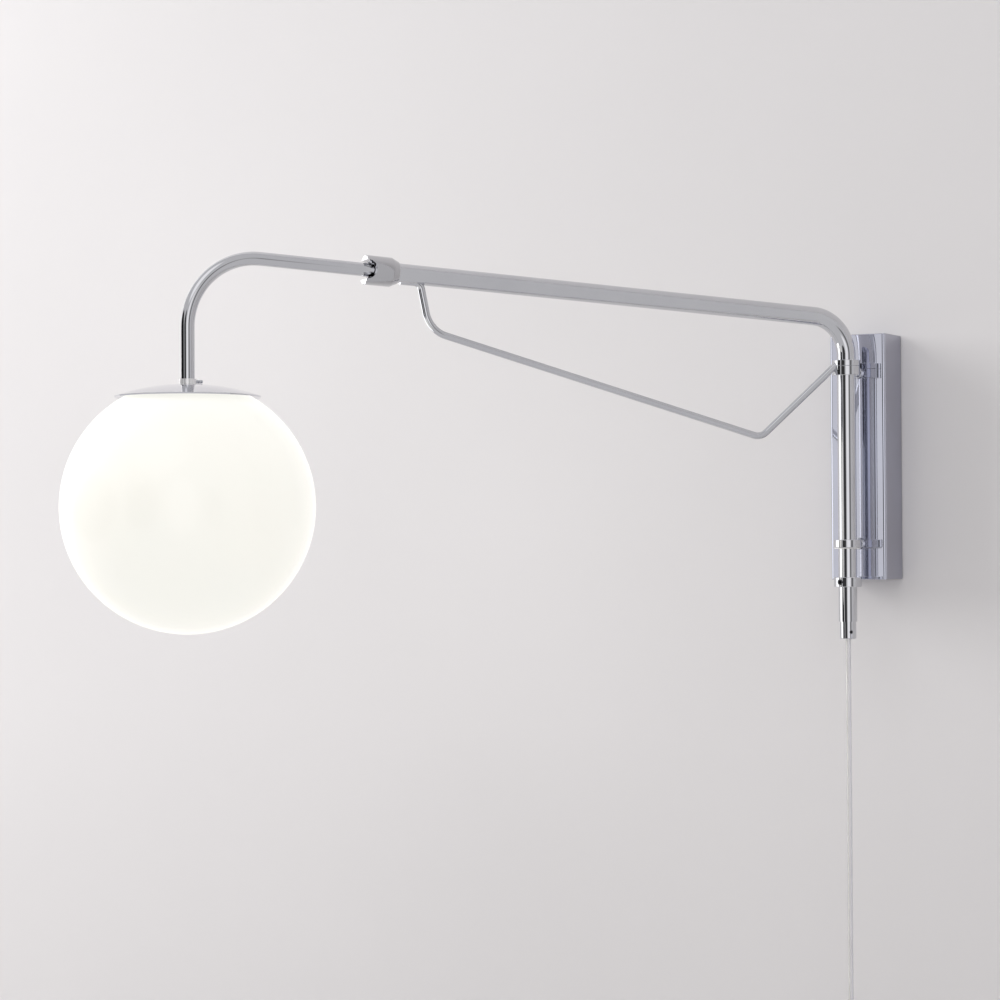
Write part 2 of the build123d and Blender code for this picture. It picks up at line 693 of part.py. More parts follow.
# Threaded nipple from the gooseneck down to the lamp holder, and the nuts on it
under_cap_z = cap_apex_z - cap_sheet
nipple_bottom = under_cap_z - nipple_below
drop_place = (drop_plane.origin.X, drop_plane.origin.Y)
with BuildPart() as threaded_nipple:
    with BuildSketch(Plane.XY.offset(nipple_bottom)):
        with Locations(drop_place):
            Circle(nipple_diameter / 2)
            Circle(nipple_bore / 2, mode=Mode.SUBTRACT)
    extrude(amount=cap_apex_z + nipple_above - nipple_bottom)
threaded_nipple.part.label = "threaded_nipple"
export_step(threaded_nipple.part, "parts/threaded_nipple.step")

hub_top = under_cap_z - nipple_nut_seat - nipple_nut_thickness
hub_bottom = hub_top - clip_sheet
with BuildPart() as nipple_nuts:
    for nut_z in (hub_top, hub_bottom - nipple_nut_thickness):
        with BuildSketch(Plane.XY.offset(nut_z)):
            with Locations(drop_place):
                RegularPolygon(nipple_nut_across_flats / 2, 6, major_radius=False)
                Circle(nipple_diameter / 2 + seat_clearance, mode=Mode.SUBTRACT)
        extrude(amount=nipple_nut_thickness)
nipple_nuts.part.label = "nipple_nuts"
export_step(nipple_nuts.part, "parts/nipple_nuts.step")

# Spring clip: a hub on the nipple and bent arms that spread under the glass
clip_shoulder = rim_inner_radius - clip_shoulder_inset
clip_valley_z = hub_bottom - clip_valley_drop
tip_radius = rim_inner_radius + clip_tip_overlap
tip_z = globe_centre_z + sqrt(inner_globe_radius**2 - tip_radius**2) - clip_sheet - cap_glass_gap
with BuildPart() as globe_clip:
    with BuildSketch(Plane.XY.offset(hub_bottom)):
        with Locations(drop_place):
            Circle(clip_hub_diameter / 2)
    extrude(amount=clip_sheet)
    for arm_index in range(clip_arms):
        arm_turn = clip_first_arm + 360.0 / clip_arms * arm_index
        spoke = spoke_plane(arm_turn, 0, about=drop_plane.origin)
        strip = Plane(origin=spoke.origin, x_dir=spoke.z_dir, z_dir=spoke.z_dir.cross(Vector(0, 0, 1)))
        with BuildSketch(strip):
            with BuildLine():
                arm_line = FilletPolyline(
                    (clip_hub_diameter / 3, hub_bottom + clip_sheet / 2),
                    (clip_shoulder, hub_bottom + clip_sheet / 2),
                    (clip_shoulder + clip_valley_step, clip_valley_z),
                    (tip_radius, tip_z),
                    radius=clip_bend_radius,
                )
            trace(arm_line, line_width=clip_sheet)
        extrude(amount=clip_arm_width / 2, both=True)
    with BuildSketch(Plane.XY.offset(hub_bottom - clip_sheet)):
        with Locations(drop_place):
            Circle(nipple_diameter / 2 + seat_clearance)
    extrude(amount=4 * clip_sheet, mode=Mode.SUBTRACT)
globe_clip.part.label = "globe_clip"
export_step(globe_clip.part, "parts/globe_clip.step")

# Lamp holder: moulded shell hung on the nipple, with its insulating core, sleeve and contact
holder_top = hub_bottom - nipple_nut_thickness
holder_bottom = holder_top - holder_height
head_height = holder_top - nipple_bottom + holder_wall
core_top = nipple_bottom - holder_wall
core_bottom = core_top - holder_core_thickness
holder_radius = holder_diameter / 2
head_radius = holder_head_diameter / 2
with BuildPart() as holder_shell:
    with BuildSketch(drop_plane):
        with BuildLine():
            Polyline(
                (nipple_diameter / 2 + seat_clearance, holder_top),
                (head_radius - holder_edge, holder_top),
                (head_radius, holder_top - holder_edge),
                (head_radius, holder_top - head_height),
                (holder_radius, holder_top - head_height - holder_shoulder),
                (holder_radius, holder_bottom),
                (holder_radius - holder_wall, holder_bottom),
                (holder_radius - holder_wall, core_top - holder_shoulder),
                (head_radius - holder_wall, core_top),
                (nipple_diameter / 2 + seat_clearance, core_top),
                close=True,
            )
        make_face()
    revolve(axis=drop_axis)
holder_shell.part.label = "holder_shell"
export_step(holder_shell.part, "parts/holder_shell.step")

sleeve_radius = holder_thread_shell / 2
with BuildPart() as holder_core:
    with BuildSketch(Plane.XY.offset(core_top - holder_shoulder)):
        with Locations(drop_place):
            Circle(holder_radius - holder_wall - seat_clearance)
            Circle(nipple_bore / 2, mode=Mode.SUBTRACT)
    extrude(amount=-holder_core_thickness)
holder_core.part.label = "holder_core"
export_step(holder_core.part, "parts/holder_core.step")

core_face = core_top - holder_shoulder - holder_core_thickness
with BuildPart() as holder_sleeve:
    with BuildSketch(Plane.XY.offset(core_face)):
        with Locations(drop_place):
            Circle(sleeve_radius + holder_sleeve_wall)
            Circle(sleeve_radius, mode=Mode.SUBTRACT)
    extrude(amount=-(core_face - holder_bottom - holder_sleeve_setback))
holder_sleeve.part.label = "holder_sleeve"
export_step(holder_sleeve.part, "parts/holder_sleeve.step")

contact_foot = core_face - contact_height
with BuildPart() as centre_contact:
    with BuildSketch(Plane.XY.offset(core_face)):
        with Locations(drop_place):
            Circle(contact_diameter / 2)
    extrude(amount=-contact_disc)
    with BuildSketch(Plane.XY.offset(core_face - contact_disc)):
        with Locations(drop_place):
            Circle(contact_diameter / 3)
    extrude(amount=contact_disc - contact_height, taper=contact_taper)
centre_contact.part.label = "centre_contact"
export_step(centre_contact.part, "parts/centre_contact.step")

# Bulb: screw base with an insulated tip, and a pear shaped glass
base_top = contact_foot - contact_gap
base_bottom = base_top - bulb_base_length
with BuildPart() as bulb_base:
    with BuildSketch(drop_plane):
        with BuildLine():
            Polyline(
                (0, base_top),
                (contact_diameter / 3, base_top),
                (bulb_base_diameter / 2, base_top - bulb_base_cone),
                (bulb_base_diameter / 2, base_bottom),
                (0, base_bottom),
                close=True,
            )
        make_face()
    revolve(axis=drop_axis)
bulb_base.part.label = "bulb_base"
export_step(bulb_base.part, "parts/bulb_base.step")

bulb_radius = bulb_diameter / 2
bulb_foot = base_bottom - bulb_length
bulb_middle = bulb_foot + bulb_radius
bulb_throat = bulb_base_diameter / 2 - bulb_throat_step
with BuildPart() as bulb_glass:
    with BuildSketch(drop_plane):
        with BuildLine():
            crown = CenterArc((0, bulb_middle), bulb_radius, -90, bulb_crown_arc)
            flank = TangentArc(crown @ 1, (bulb_throat, base_bottom), tangent=crown % 1)
            Line(flank @ 1, (0, base_bottom))
            Line((0, base_bottom), crown @ 0)
        make_face()
    revolve(axis=drop_axis)
    offset(amount=-bulb_glass_wall, openings=bulb_glass.faces().sort_by(Axis.Z)[-1])
bulb_glass.part.label = "bulb_glass"
export_step(bulb_glass.part, "parts/bulb_glass.step")

# Lamp cable inside the tubes. Its arm half and its gooseneck half lie side by side where the
# slide takes up slack, so the overlap runs out just as the gooseneck is fully drawn out.
cable_radius = cord_diameter / 2
cable_offset = cable_radius + cable_gap
arm_cable_end = neck_tube_start - slide_in - cable_stop - cable_lay_over
neck_cable_start = arm_cable_end - slide_out
with BuildPart() as arm_cable:
    with BuildLine(arm_plane) as arm_cable_path:
        FilletPolyline(
            (0, cord_top_z + cable_foot_gap),
            (0, arm_height + cable_offset / rise_cos),
            on_reach(arm_cable_end, cable_offset),
            radius=arm_bend_radius,
        )
    with BuildSketch(Plane.XY.offset(cord_top_z + cable_foot_gap)):
        with Locations((0, pivot_y)):
            Circle(cable_radius)
    sweep(path=arm_cable_path.line)
arm_cable.part.label = "arm_cable"
export_step(arm_cable.part, "parts/arm_cable.step")

lay_turn = atan(cable_offset / cable_lay_over)
lay_radius = corner_share * cable_lay_over / tan(lay_turn / 2)
with BuildPart() as gooseneck_cable:
    with BuildLine(arm_plane) as neck_cable_path:
        FilletPolyline(
            on_reach(neck_cable_start, -cable_offset),
            on_reach(neck_tube_start - cable_stop - cable_lay_over, -cable_offset),
            on_reach(neck_tube_start - cable_stop),
            (neck_drop_reach, drop_corner_z),
            (neck_drop_reach, core_top + cable_top_gap),
            radius=[lay_radius, lay_radius, neck_bend_radius],
        )
    with BuildSketch(Plane(origin=neck_cable_path.line @ 0, z_dir=neck_cable_path.line % 0)):
        Circle(cable_radius)
    sweep(path=neck_cable_path.line)
gooseneck_cable.part.label = "gooseneck_cable"
export_step(gooseneck_cable.part, "parts/gooseneck_cable.step")

# Supply cord: straight down the pivot axis, then across to the hank's outer run
cord_radius = cord_diameter / 2
hank_outer = hank_inner_radius + (hank_turns - 1) * hank_pitch
hank_start_z = hank_top_z + cord_diameter
near_y = pivot_y
far_y = pivot_y + hank_layer_pitch
cord_points = [
    Vector(0, pivot_y, cord_top_z),
    Vector(0, pivot_y, cord_drop_z),
    Vector(hank_outer, near_y, cord_shift_z),
    Vector(hank_outer, near_y, hank_start_z),
]


def corner_radii(points):
    """Each corner takes the same share of its shorter run, which gives its radius."""
    radii = []
    for before, corner, after in zip(points, points[1:], points[2:]):
        arriving = corner - before
        leaving = after - corner
        turn = radians(arriving.get_angle(leaving))
        radii.append(corner_share * min(arriving.length, leaving.length) / tan(turn / 2))
    return radii


cord_radii = corner_radii(cord_points)
with BuildPart() as supply_cord:
    with BuildLine() as cord_path:
        FilletPolyline(*cord_points, radius=cord_radii)
    with BuildSketch(Plane.XY.offset(cord_top_z)):
        with Locations((0, pivot_y)):
            Circle(cord_radius)
    sweep(path=cord_path.line)
supply_cord.part.label = "supply_cord"
export_step(supply_cord.part, "parts/supply_cord.step")

# Hank: upright loops in two layers, spiralling in and out again, drawn in alike at the waist.
# Each stroke below is one run, down the right side or up the left, with the layer it ends in.
hank_bottom_z = hank_top_z - hank_run
strokes = []
for turn in range(hank_turns):
    side = hank_outer - turn * hank_pitch
    strokes.append((side, near_y, near_y))
    last_turn = turn == hank_turns - 1
    strokes.append((-side, near_y, far_y if last_turn else near_y))
for turn in range(hank_turns):
    side = hank_inner_radius + turn * hank_pitch
    strokes.append((side, far_y, far_y))
    if turn < hank_turns - 1:
        strokes.append((-(side + hank_pitch), far_y, far_y))

with BuildPart() as cord_hank:
    with BuildLine() as hank_path:
        Line((hank_outer, near_y, hank_start_z), (hank_outer, near_y, hank_top_z))
        for index, (x, y_from, y_to) in enumerate(strokes):
            downward = x > 0
            z_from = hank_top_z if downward else hank_bottom_z
            z_to = hank_bottom_z if downward else hank_top_z
            heading = Vector(0, 0, -1 if downward else 1)
            waist_x = x - hank_waist if downward else x + hank_waist
            knots = [
                Vector(x, y_from, z_from),
                Vector((x + waist_x) / 2, y_from + (y_to - y_from) / 4, (3 * z_from + z_to) / 4),
                Vector(waist_x, (y_from + y_to) / 2, (z_from + z_to) / 2),
                Vector((x + waist_x) / 2, y_to - (y_to - y_from) / 4, (z_from + 3 * z_to) / 4),
                Vector(x, y_to, z_to),
            ]
            for start, end in zip(knots, knots[1:]):
                bow = TangentArc(start, end, tangent=heading)
                heading = bow % 1
            if index < len(strokes) - 1:
                next_x = strokes[index + 1][0]
                middle_z = z_to + (-1 if downward else 1) * abs(next_x - x) / 2
                ThreePointArc((x, y_to, z_to), ((x + next_x) / 2, y_to, middle_z), (next_x, y_to, z_to))
        Line((hank_outer, far_y, hank_bottom_z), (hank_outer, far_y, hank_bottom_z - cord_diameter))
    with BuildSketch(Plane.XY.offset(hank_start_z)):
        with Locations((hank_outer, near_y)):
            Circle(cord_radius)
    sweep(path=hank_path.line)
cord_hank.part.label = "cord_hank"
export_step(cord_hank.part, "parts/cord_hank.step")


def least_gap(path, diameter):
    """Smallest clearance between stretches of a path over three diameters apart along it."""
    count = ceil(path.length / (diameter / 2))
    points = [path.position_at(index / count) for index in range(count + 1)]
    spacing = path.length / count
    apart = ceil(3 * diameter / spacing)
    nearest = path.length
    for first in range(count + 1 - apart):
        for second in points[first + apart:]:
            distance = hypot(
                points[first].X - second.X, points[first].Y - second.Y, points[first].Z - second.Z
            )
            nearest = min(nearest, distance)
    return nearest - diameter


# Tie: a soft band round the hank's waist
tie_half_width = hank_outer - hank_waist + cord_radius + tie_clearance
tie_depth = hank_layer_pitch + cord_diameter + 2 * tie_clearance
tie_middle_z = (hank_top_z + hank_bottom_z) / 2
with BuildPart() as hank_tie:
    with BuildSketch(Plane.XY.offset(tie_middle_z - tie_height / 2)):
        with Locations((0, (near_y + far_y) / 2)):
            RectangleRounded(
                2 * (tie_half_width + tie_thickness),
                tie_depth + 2 * tie_thickness,
                cord_radius + tie_thickness,
            )
            RectangleRounded(2 * tie_half_width, tie_depth, cord_radius, mode=Mode.SUBTRACT)
    extrude(amount=tie_height)
hank_tie.part.label = "hank_tie"
export_step(hank_tie.part, "parts/hank_tie.step")

# Lead from the hank to the plug, and the plug with its two round pins
lead_top = hank_bottom_z - cord_diameter
plug_top = lead_top - plug_lead_length
with BuildPart() as plug_lead:
    with BuildSketch(Plane.XY.offset(plug_top)):
        with Locations((hank_outer, far_y)):
            Circle(cord_radius)
    extrude(amount=plug_lead_length)
plug_lead.part.label = "plug_lead"
export_step(plug_lead.part, "parts/plug_lead.step")

plug_place = (hank_outer, far_y)
shoulder_z = plug_top - plug_neck_length
plug_face_z = shoulder_z - plug_body_length
pin_places = [(hank_outer - plug_pin_spacing / 2, far_y), (hank_outer + plug_pin_spacing / 2, far_y)]
with BuildPart() as plug_body:
    with BuildSketch(Plane.XY.offset(plug_top)):
        with Locations(plug_place):
            Circle(plug_neck_diameter / 2)
    with BuildSketch(Plane.XY.offset(shoulder_z)):
        with Locations(plug_place):
            Circle(plug_neck_root_diameter / 2)
    loft()
    with BuildSketch(Plane.XY.offset(shoulder_z)):
        with Locations(plug_place):
            RectangleRounded(plug_shoulder_width, plug_shoulder_thickness, plug_shoulder_radius)
    with BuildSketch(Plane.XY.offset(plug_face_z)):
        with Locations(plug_place):
            RectangleRounded(plug_width, plug_thickness, plug_face_radius)
    loft()
    with BuildSketch(Plane.XY.offset(plug_face_z)):
        with Locations(*pin_places):
            Circle(plug_pin_diameter / 2)
    extrude(amount=plug_pin_seat, mode=Mode.SUBTRACT)
plug_body.part.label = "plug_body"
export_step(plug_body.part, "parts/plug_body.step")

with BuildPart() as plug_pins:
    with BuildSketch(Plane.XY.offset(plug_face_z + plug_pin_seat)):
        with Locations(*pin_places):
            Circle(plug_pin_sleeve_diameter / 2)
    extrude(amount=-(plug_pin_seat + plug_pin_sleeve))
    with BuildSketch(Plane.XY.offset(plug_face_z - plug_pin_sleeve)):
        with Locations(*pin_places):
            Circle(plug_pin_diameter / 2)
    extrude(amount=-(plug_pin_length - plug_pin_sleeve))
    chamfer(plug_pins.edges().group_by(Axis.Z)[0], plug_pin_chamfer)
plug_pins.part.label = "plug_pins"
export_step(plug_pins.part, "parts/plug_pins.step")

# What was chosen for the cord, in millimetres
cord_wire = cord_path.wires()[0]
hank_wire = hank_path.wires()[0]
cord_total = cord_wire.length + hank_wire.length + plug_lead_length
print("supply cord radii", [round(radius, 1) for radius in cord_radii])
print("hank half turns", hank_inner_radius, "to", hank_outer, "bows over", hank_run / 4)
print("hank least gap to itself", round(least_gap(hank_wire, cord_diameter), 3))
print("cord length in all", round(cord_total, 1))
for name, solid, wire in (
    ("supply cord", supply_cord.part, cord_wire),
    ("cord hank", cord_hank.part, hank_wire),
    ("arm cable", arm_cable.part, arm_cable_path.wires()[0]),
    ("gooseneck cable", gooseneck_cable.part, neck_cable_path.wires()[0]),
):
    section = pi * cord_radius**2
    print(name, "volume over section times length", round(solid.volume / (section * wire.length), 4))
print("glass rim", round(globe_rim_z, 2), "opening radius", round(rim_inner_radius, 2))
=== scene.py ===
import bpy
import bmesh
import json
from math import acos, atan2, cos, hypot, pi, radians, sin, sqrt, tan
from mathutils import Matrix, Vector


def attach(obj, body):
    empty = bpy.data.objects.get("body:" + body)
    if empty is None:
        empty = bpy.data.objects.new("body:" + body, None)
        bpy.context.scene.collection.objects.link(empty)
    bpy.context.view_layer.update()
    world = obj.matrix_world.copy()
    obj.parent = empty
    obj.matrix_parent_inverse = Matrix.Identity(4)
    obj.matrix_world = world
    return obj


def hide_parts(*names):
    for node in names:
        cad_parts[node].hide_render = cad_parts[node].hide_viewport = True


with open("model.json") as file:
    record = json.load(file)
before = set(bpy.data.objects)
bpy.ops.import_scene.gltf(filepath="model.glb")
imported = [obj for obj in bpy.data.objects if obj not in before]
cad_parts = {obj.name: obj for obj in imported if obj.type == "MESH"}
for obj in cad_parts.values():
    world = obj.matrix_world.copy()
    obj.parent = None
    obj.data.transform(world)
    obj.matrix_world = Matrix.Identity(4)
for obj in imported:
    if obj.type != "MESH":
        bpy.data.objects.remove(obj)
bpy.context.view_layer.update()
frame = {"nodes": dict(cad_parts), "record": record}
mm = 0.001  # sizes below are in millimetres
weldGap = 0.000002  # points nearer than this many metres become one
print("swing arm lamp: frame loaded")

# Where the arm runs: a level heading from the wall, a small rise, and the upright's axis
armLine = {"heading": 37.3, "rise": 3.57, "pivotY": -62.0, "height": 119.45, "drop": 589.6}
headingAngle = radians(armLine["heading"])
riseAngle = radians(armLine["rise"])
outward = Vector((-sin(headingAngle), -cos(headingAngle), 0))
sideways = Vector((-cos(headingAngle), sin(headingAngle), 0))
upward = Vector((0, 0, 1))
alongReach = outward * cos(riseAngle) + upward * sin(riseAngle)
pivotFoot = Vector((0, armLine["pivotY"] * mm, 0))
dropFoot = pivotFoot + outward * armLine["drop"] * mm


def onReach(distance, square=0.0):
    # level distance and height of a point along the sloping tube, some way square to it
    level = distance * cos(riseAngle) - square * sin(riseAngle)
    return (level, armLine["height"] + distance * sin(riseAngle) + square * cos(riseAngle))


def armPoint(level, height):
    # a point of the arm's upright plane, in metres
    return pivotFoot + outward * level * mm + upward * height * mm


# Finishes

noiseSpan = (0.3, 0.7)  # most of a noise's values lie between these


def newMaterial(name, colour, roughness, **sockets):
    # a principled finish with every even value on the shader's own sockets
    made = bpy.data.materials.new(name)
    made.use_nodes = True
    shader = made.node_tree.nodes["Principled BSDF"]
    shader.inputs["Base Color"].default_value = (*colour, 1)
    shader.inputs["Roughness"].default_value = roughness
    for socket, value in sockets.items():
        shader.inputs[socket.replace("_", " ")].default_value = value
    return made


def addNoise(made, scale, detail=3.0, stretch=(1, 1, 1), roughness=0.55):
    # noise on object coordinates, stretched where a finish has a grain
    nodes, links = made.node_tree.nodes, made.node_tree.links
    where = nodes.new("ShaderNodeTexCoord")
    grain = nodes.new("ShaderNodeMapping")
    grain.inputs["Scale"].default_value = stretch
    noise = nodes.new("ShaderNodeTexNoise")
    noise.inputs["Scale"].default_value = scale
    noise.inputs["Detail"].default_value = detail
    noise.inputs["Roughness"].default_value = roughness
    links.new(where.outputs["Object"], grain.inputs["Vector"])
    links.new(grain.outputs["Vector"], noise.inputs["Vector"])
    return noise.outputs["Fac"]


def colourFrom(made, source, low, high):
    # base colour runs between two tones with a pattern
    nodes, links = made.node_tree.nodes, made.node_tree.links
    ramp = nodes.new("ShaderNodeValToRGB")
    for stop, position, tone in zip(ramp.color_ramp.elements, noiseSpan, (low, high)):
        stop.position = position
        stop.color = (*tone, 1)
    links.new(source, ramp.inputs["Fac"])
    links.new(ramp.outputs["Color"], nodes["Principled BSDF"].inputs["Base Color"])


def roughnessFrom(made, source, low, high):
    # roughness runs between two values with a pattern
    nodes, links = made.node_tree.nodes, made.node_tree.links
    spread = nodes.new("ShaderNodeMapRange")
    spread.inputs["From Min"].default_value, spread.inputs["From Max"].default_value = noiseSpan
    spread.inputs["To Min"].default_value = low
    spread.inputs["To Max"].default_value = high
    links.new(source, spread.inputs["Value"])
    links.new(spread.outputs["Result"], nodes["Principled BSDF"].inputs["Roughness"])


def bumpFrom(made, source, strength, distance):
    # fine relief from a pattern, its depth in metres
    nodes, links = made.node_tree.nodes, made.node_tree.links
    bump = nodes.new("ShaderNodeBump")
    bump.inputs["Strength"].default_value = strength
    bump.inputs["Distance"].default_value = distance
    links.new(source, bump.inputs["Height"])
    links.new(bump.outputs["Normal"], nodes["Principled BSDF"].inputs["Normal"])


def makeChrome(name, low, high, rough, edge=(1.0, 1.0, 1.0)):
    # mirror plating with a faint haze, its edge tint seen at a slant
    made = newMaterial(name, high, rough, Metallic=1.0, Specular_Tint=(*edge, 1))
    colourFrom(made, addNoise(made, scale=14.0, detail=4.0), low, high)
    wear = addNoise(made, scale=90.0, detail=5.0)
    roughnessFrom(made, wear, rough * 0.7, rough * 1.6)
    polish = addNoise(made, scale=900.0, detail=2.0)
    bumpFrom(made, polish, strength=0.02, distance=0.00002)
    return made


def makeSteel(name, low, high, rough, stretch=(1, 1, 1)):
    # plated or rolled steel and brass, its grain drawn out where it is brushed
    made = newMaterial(name, high, rough, Metallic=1.0)
    brushed = addNoise(made, scale=220.0, detail=4.0, stretch=stretch)
    colourFrom(made, brushed, low, high)
    roughnessFrom(made, brushed, rough * 0.7, rough * 1.4)
    bumpFrom(made, brushed, strength=0.15, distance=0.0001)
    return made


def makePlastic(name, low, high, rough, grain, depth, **sockets):
    # moulded or satin skin with a fine grain, its depth in metres
    made = newMaterial(name, high, rough, **sockets)
    colourFrom(made, addNoise(made, scale=60.0, detail=3.0), low, high)
    skin = addNoise(made, scale=grain, detail=2.0)
    roughnessFrom(made, skin, rough * 0.8, rough * 1.3)
    bumpFrom(made, skin, strength=0.2, distance=depth)
    return made


# By slot: the material's name, its darker and lighter tone, its roughness and its grain
finishes = {
    "chrome": makeChrome("mirrorChrome", (0.60, 0.605, 0.635), (0.65, 0.655, 0.68), 0.03),
    # the cover's chrome is tinted lavender as a painted reflection, and its slant tint darkens the
    # side face as painted shade
    "drawn_cover": makeChrome(
        "coverChromeWithPaintedReflection", (0.59, 0.60, 0.68), (0.63, 0.65, 0.75), 0.03, edge=(0.52, 0.49, 0.45),
    ),
    # a lighter copy of the mirror chrome for the cap, as painted light
    "spun_cap": makeChrome("capChromeWithPaintedLight", (0.70, 0.705, 0.74), (0.75, 0.755, 0.79), 0.04),
    # a darker copy of the mirror chrome for the clamp nut
    "turned_nut": makeChrome("nutChrome", (0.51, 0.515, 0.535), (0.56, 0.56, 0.58), 0.04),
    "zinc_steel": makeSteel("zincPlate", (0.52, 0.54, 0.58), (0.66, 0.67, 0.7), 0.28),
    "dark_steel": makeSteel("blackOxide", (0.03, 0.03, 0.035), (0.07, 0.07, 0.075), 0.4),
    "spring_steel": makeSteel(
        "springStrip", (0.42, 0.43, 0.45), (0.58, 0.58, 0.6), 0.3, stretch=(1, 1, 12),
    ),
    "plated_brass": makeSteel("nickelBrass", (0.66, 0.63, 0.56), (0.78, 0.75, 0.68), 0.22),
    "satin_collar": makePlastic(
        "collarSatin", (0.92, 0.92, 0.92), (0.96, 0.95, 0.95), 0.2, grain=300.0, depth=0.00002,
        Metallic=0.45,
    ),
    "white_nylon": makePlastic(
        "whiteNylon", (0.82, 0.82, 0.8), (0.9, 0.9, 0.88), 0.45, grain=700.0, depth=0.00003,
    ),
    "tie_plastic": makePlastic(
        "softTie", (0.8, 0.8, 0.81), (0.88, 0.88, 0.89), 0.5, grain=900.0, depth=0.00005,
    ),
    "plug_plastic": makePlastic(
        "plugMoulding", (0.84, 0.84, 0.85), (0.9, 0.9, 0.91), 0.24, grain=500.0, depth=0.00003,
    ),
    "holder_plastic": makePlastic(
        "holderMoulding", (0.85, 0.85, 0.83), (0.91, 0.91, 0.9), 0.38, grain=500.0, depth=0.00003,
    ),
    "ceramic": makePlastic(
        "holderCeramic", (0.8, 0.79, 0.75), (0.9, 0.89, 0.86), 0.6, grain=1200.0, depth=0.0001,
    ),
}

# Clear cord sheath, and the two conductors inside it
sheathFinish = {
    "low": (0.87, 0.87, 0.885), "high": (0.92, 0.92, 0.93), "rough": 0.06, "clear": 0.97,
    "bending": 1.2, "smoothest": 0.03, "roughest": 0.09,
}
sheath = newMaterial(
    "clearSheath", sheathFinish["high"], sheathFinish["rough"],
    IOR=sheathFinish["bending"], Transmission_Weight=sheathFinish["clear"],
)
sheathClouds = addNoise(sheath, scale=120.0)
colourFrom(sheath, sheathClouds, sheathFinish["low"], sheathFinish["high"])
roughnessFrom(sheath, sheathClouds, sheathFinish["smoothest"], sheathFinish["roughest"])
finishes["clear_cord"] = sheath
for strandName, low, high in (
    ("conductorLeft", (0.76, 0.75, 0.70), (0.84, 0.83, 0.79)),
    ("conductorRight", (0.68, 0.67, 0.73), (0.76, 0.75, 0.80)),
):
    # each core has a faint glow, painted light standing in for the light that the clear sheath
    # keeps from it
    finishes[strandName] = makePlastic(
        strandName + "CoreWithPaintedGlow", low, high, 0.5, grain=300.0, depth=0.00002, Emission_Strength=0.12,
    )

# Opal glass, lit from inside
opalFinish = {
    "cool": (0.36, 0.36, 0.35), "warm": (0.40, 0.39, 0.36), "glow": (1.0, 1.0, 0.93),
    "glowWarm": (1.0, 0.985, 0.92), "strength": 0.70, "rough": 0.2, "smoothest": 0.16,
    "roughest": 0.26, "coat": 0.2, "coatRough": 0.06,
}
opal = newMaterial(
    "opalGlass", opalFinish["cool"], opalFinish["rough"], Coat_Weight=opalFinish["coat"],
    Coat_Roughness=opalFinish["coatRough"], Emission_Strength=opalFinish["strength"],
)
opalClouds = addNoise(opal, scale=9.0, detail=2.0)  # slow changes in the blown wall's thickness
colourFrom(opal, opalClouds, opalFinish["cool"], opalFinish["warm"])
roughnessFrom(opal, opalClouds, opalFinish["smoothest"], opalFinish["roughest"])
opalNodes, opalLinks = opal.node_tree.nodes, opal.node_tree.links
glowRamp = opalNodes.new("ShaderNodeValToRGB")
glowRamp.color_ramp.elements[0].color = (*opalFinish["glow"], 1)
glowRamp.color_ramp.elements[1].color = (*opalFinish["glowWarm"], 1)
opalLinks.new(opalClouds, glowRamp.inputs["Fac"])
opalLinks.new(glowRamp.outputs["Color"], opalNodes["Principled BSDF"].inputs["Emission Color"])
finishes["opal_glass"] = opal

# Frosted bulb
bulbFinish = {
    "low": (0.92, 0.92, 0.9), "middle": (0.95, 0.95, 0.92), "high": (0.97, 0.97, 0.95),
    "glow": (1.0, 0.9, 0.72), "strength": 1.5, "clear": 0.4, "rough": 0.35, "smoothest": 0.3,
    "roughest": 0.45,
}
frosted = newMaterial(
    "frostedBulb", bulbFinish["middle"], bulbFinish["rough"],
    Transmission_Weight=bulbFinish["clear"], Emission_Strength=bulbFinish["strength"],
    Emission_Color=(*bulbFinish["glow"], 1),
)
frostNoise = addNoise(frosted, scale=400.0, detail=2.0)
roughnessFrom(frosted, frostNoise, bulbFinish["smoothest"], bulbFinish["roughest"])
colourFrom(frosted, frostNoise, bulbFinish["low"], bulbFinish["high"])
finishes["bulb_glass"] = frosted
print("swing arm lamp: finishes made")


# Camera, from the photograph's own geometry

cameraFit = {
    "place": (859.3, -2088.1, -74.0), "heading": 30.89, "tilt": 0.98, "roll": -0.30,
    "lens": 90.0, "sensor": 36.0, "farthest": 60000.0,
}
lookHeading = radians(cameraFit["heading"])
lookTilt = radians(cameraFit["tilt"])
lookRoll = radians(cameraFit["roll"])
lookAlong = Vector(
    (-sin(lookHeading) * cos(lookTilt), cos(lookHeading) * cos(lookTilt), sin(lookTilt))
)
levelRight = Vector((cos(lookHeading), sin(lookHeading), 0))
squareUp = levelRight.cross(lookAlong)
rolledRight = levelRight * cos(lookRoll) + squareUp * sin(lookRoll)
rolledUp = squareUp * cos(lookRoll) - levelRight * sin(lookRoll)
cameraTurn = Matrix((rolledRight, rolledUp, -lookAlong)).transposed().to_4x4()
cameraData = bpy.data.cameras.new("photoCamera")
cameraData.lens = cameraFit["lens"]
cameraData.sensor_width = cameraFit["sensor"]
cameraData.clip_end = cameraFit["farthest"] * mm
camera = bpy.data.objects.new("photoCamera", cameraData)
camera.matrix_world = Matrix.Translation(Vector(cameraFit["place"]) * mm) @ cameraTurn
bpy.context.scene.collection.objects.link(camera)
bpy.context.scene.camera = camera


# Shared making

def finishPiece(name, bm, body, finish, crease=35.0, look=None):
    # closes doubles, turns faces outwards, shades, and hangs the piece on its body
    bmesh.ops.remove_doubles(bm, verts=bm.verts, dist=weldGap)
    bmesh.ops.recalc_face_normals(bm, faces=bm.faces)
    mesh = bpy.data.meshes.new(name)
    bm.to_mesh(mesh)
    bm.free()
    mesh.shade_smooth()
    mesh.set_sharp_from_angle(angle=radians(crease))
    mesh.materials.append(finishes[look or finish])
    piece = bpy.data.objects.new(name, mesh)
    bpy.context.scene.collection.objects.link(piece)
    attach(piece, body)
    return piece


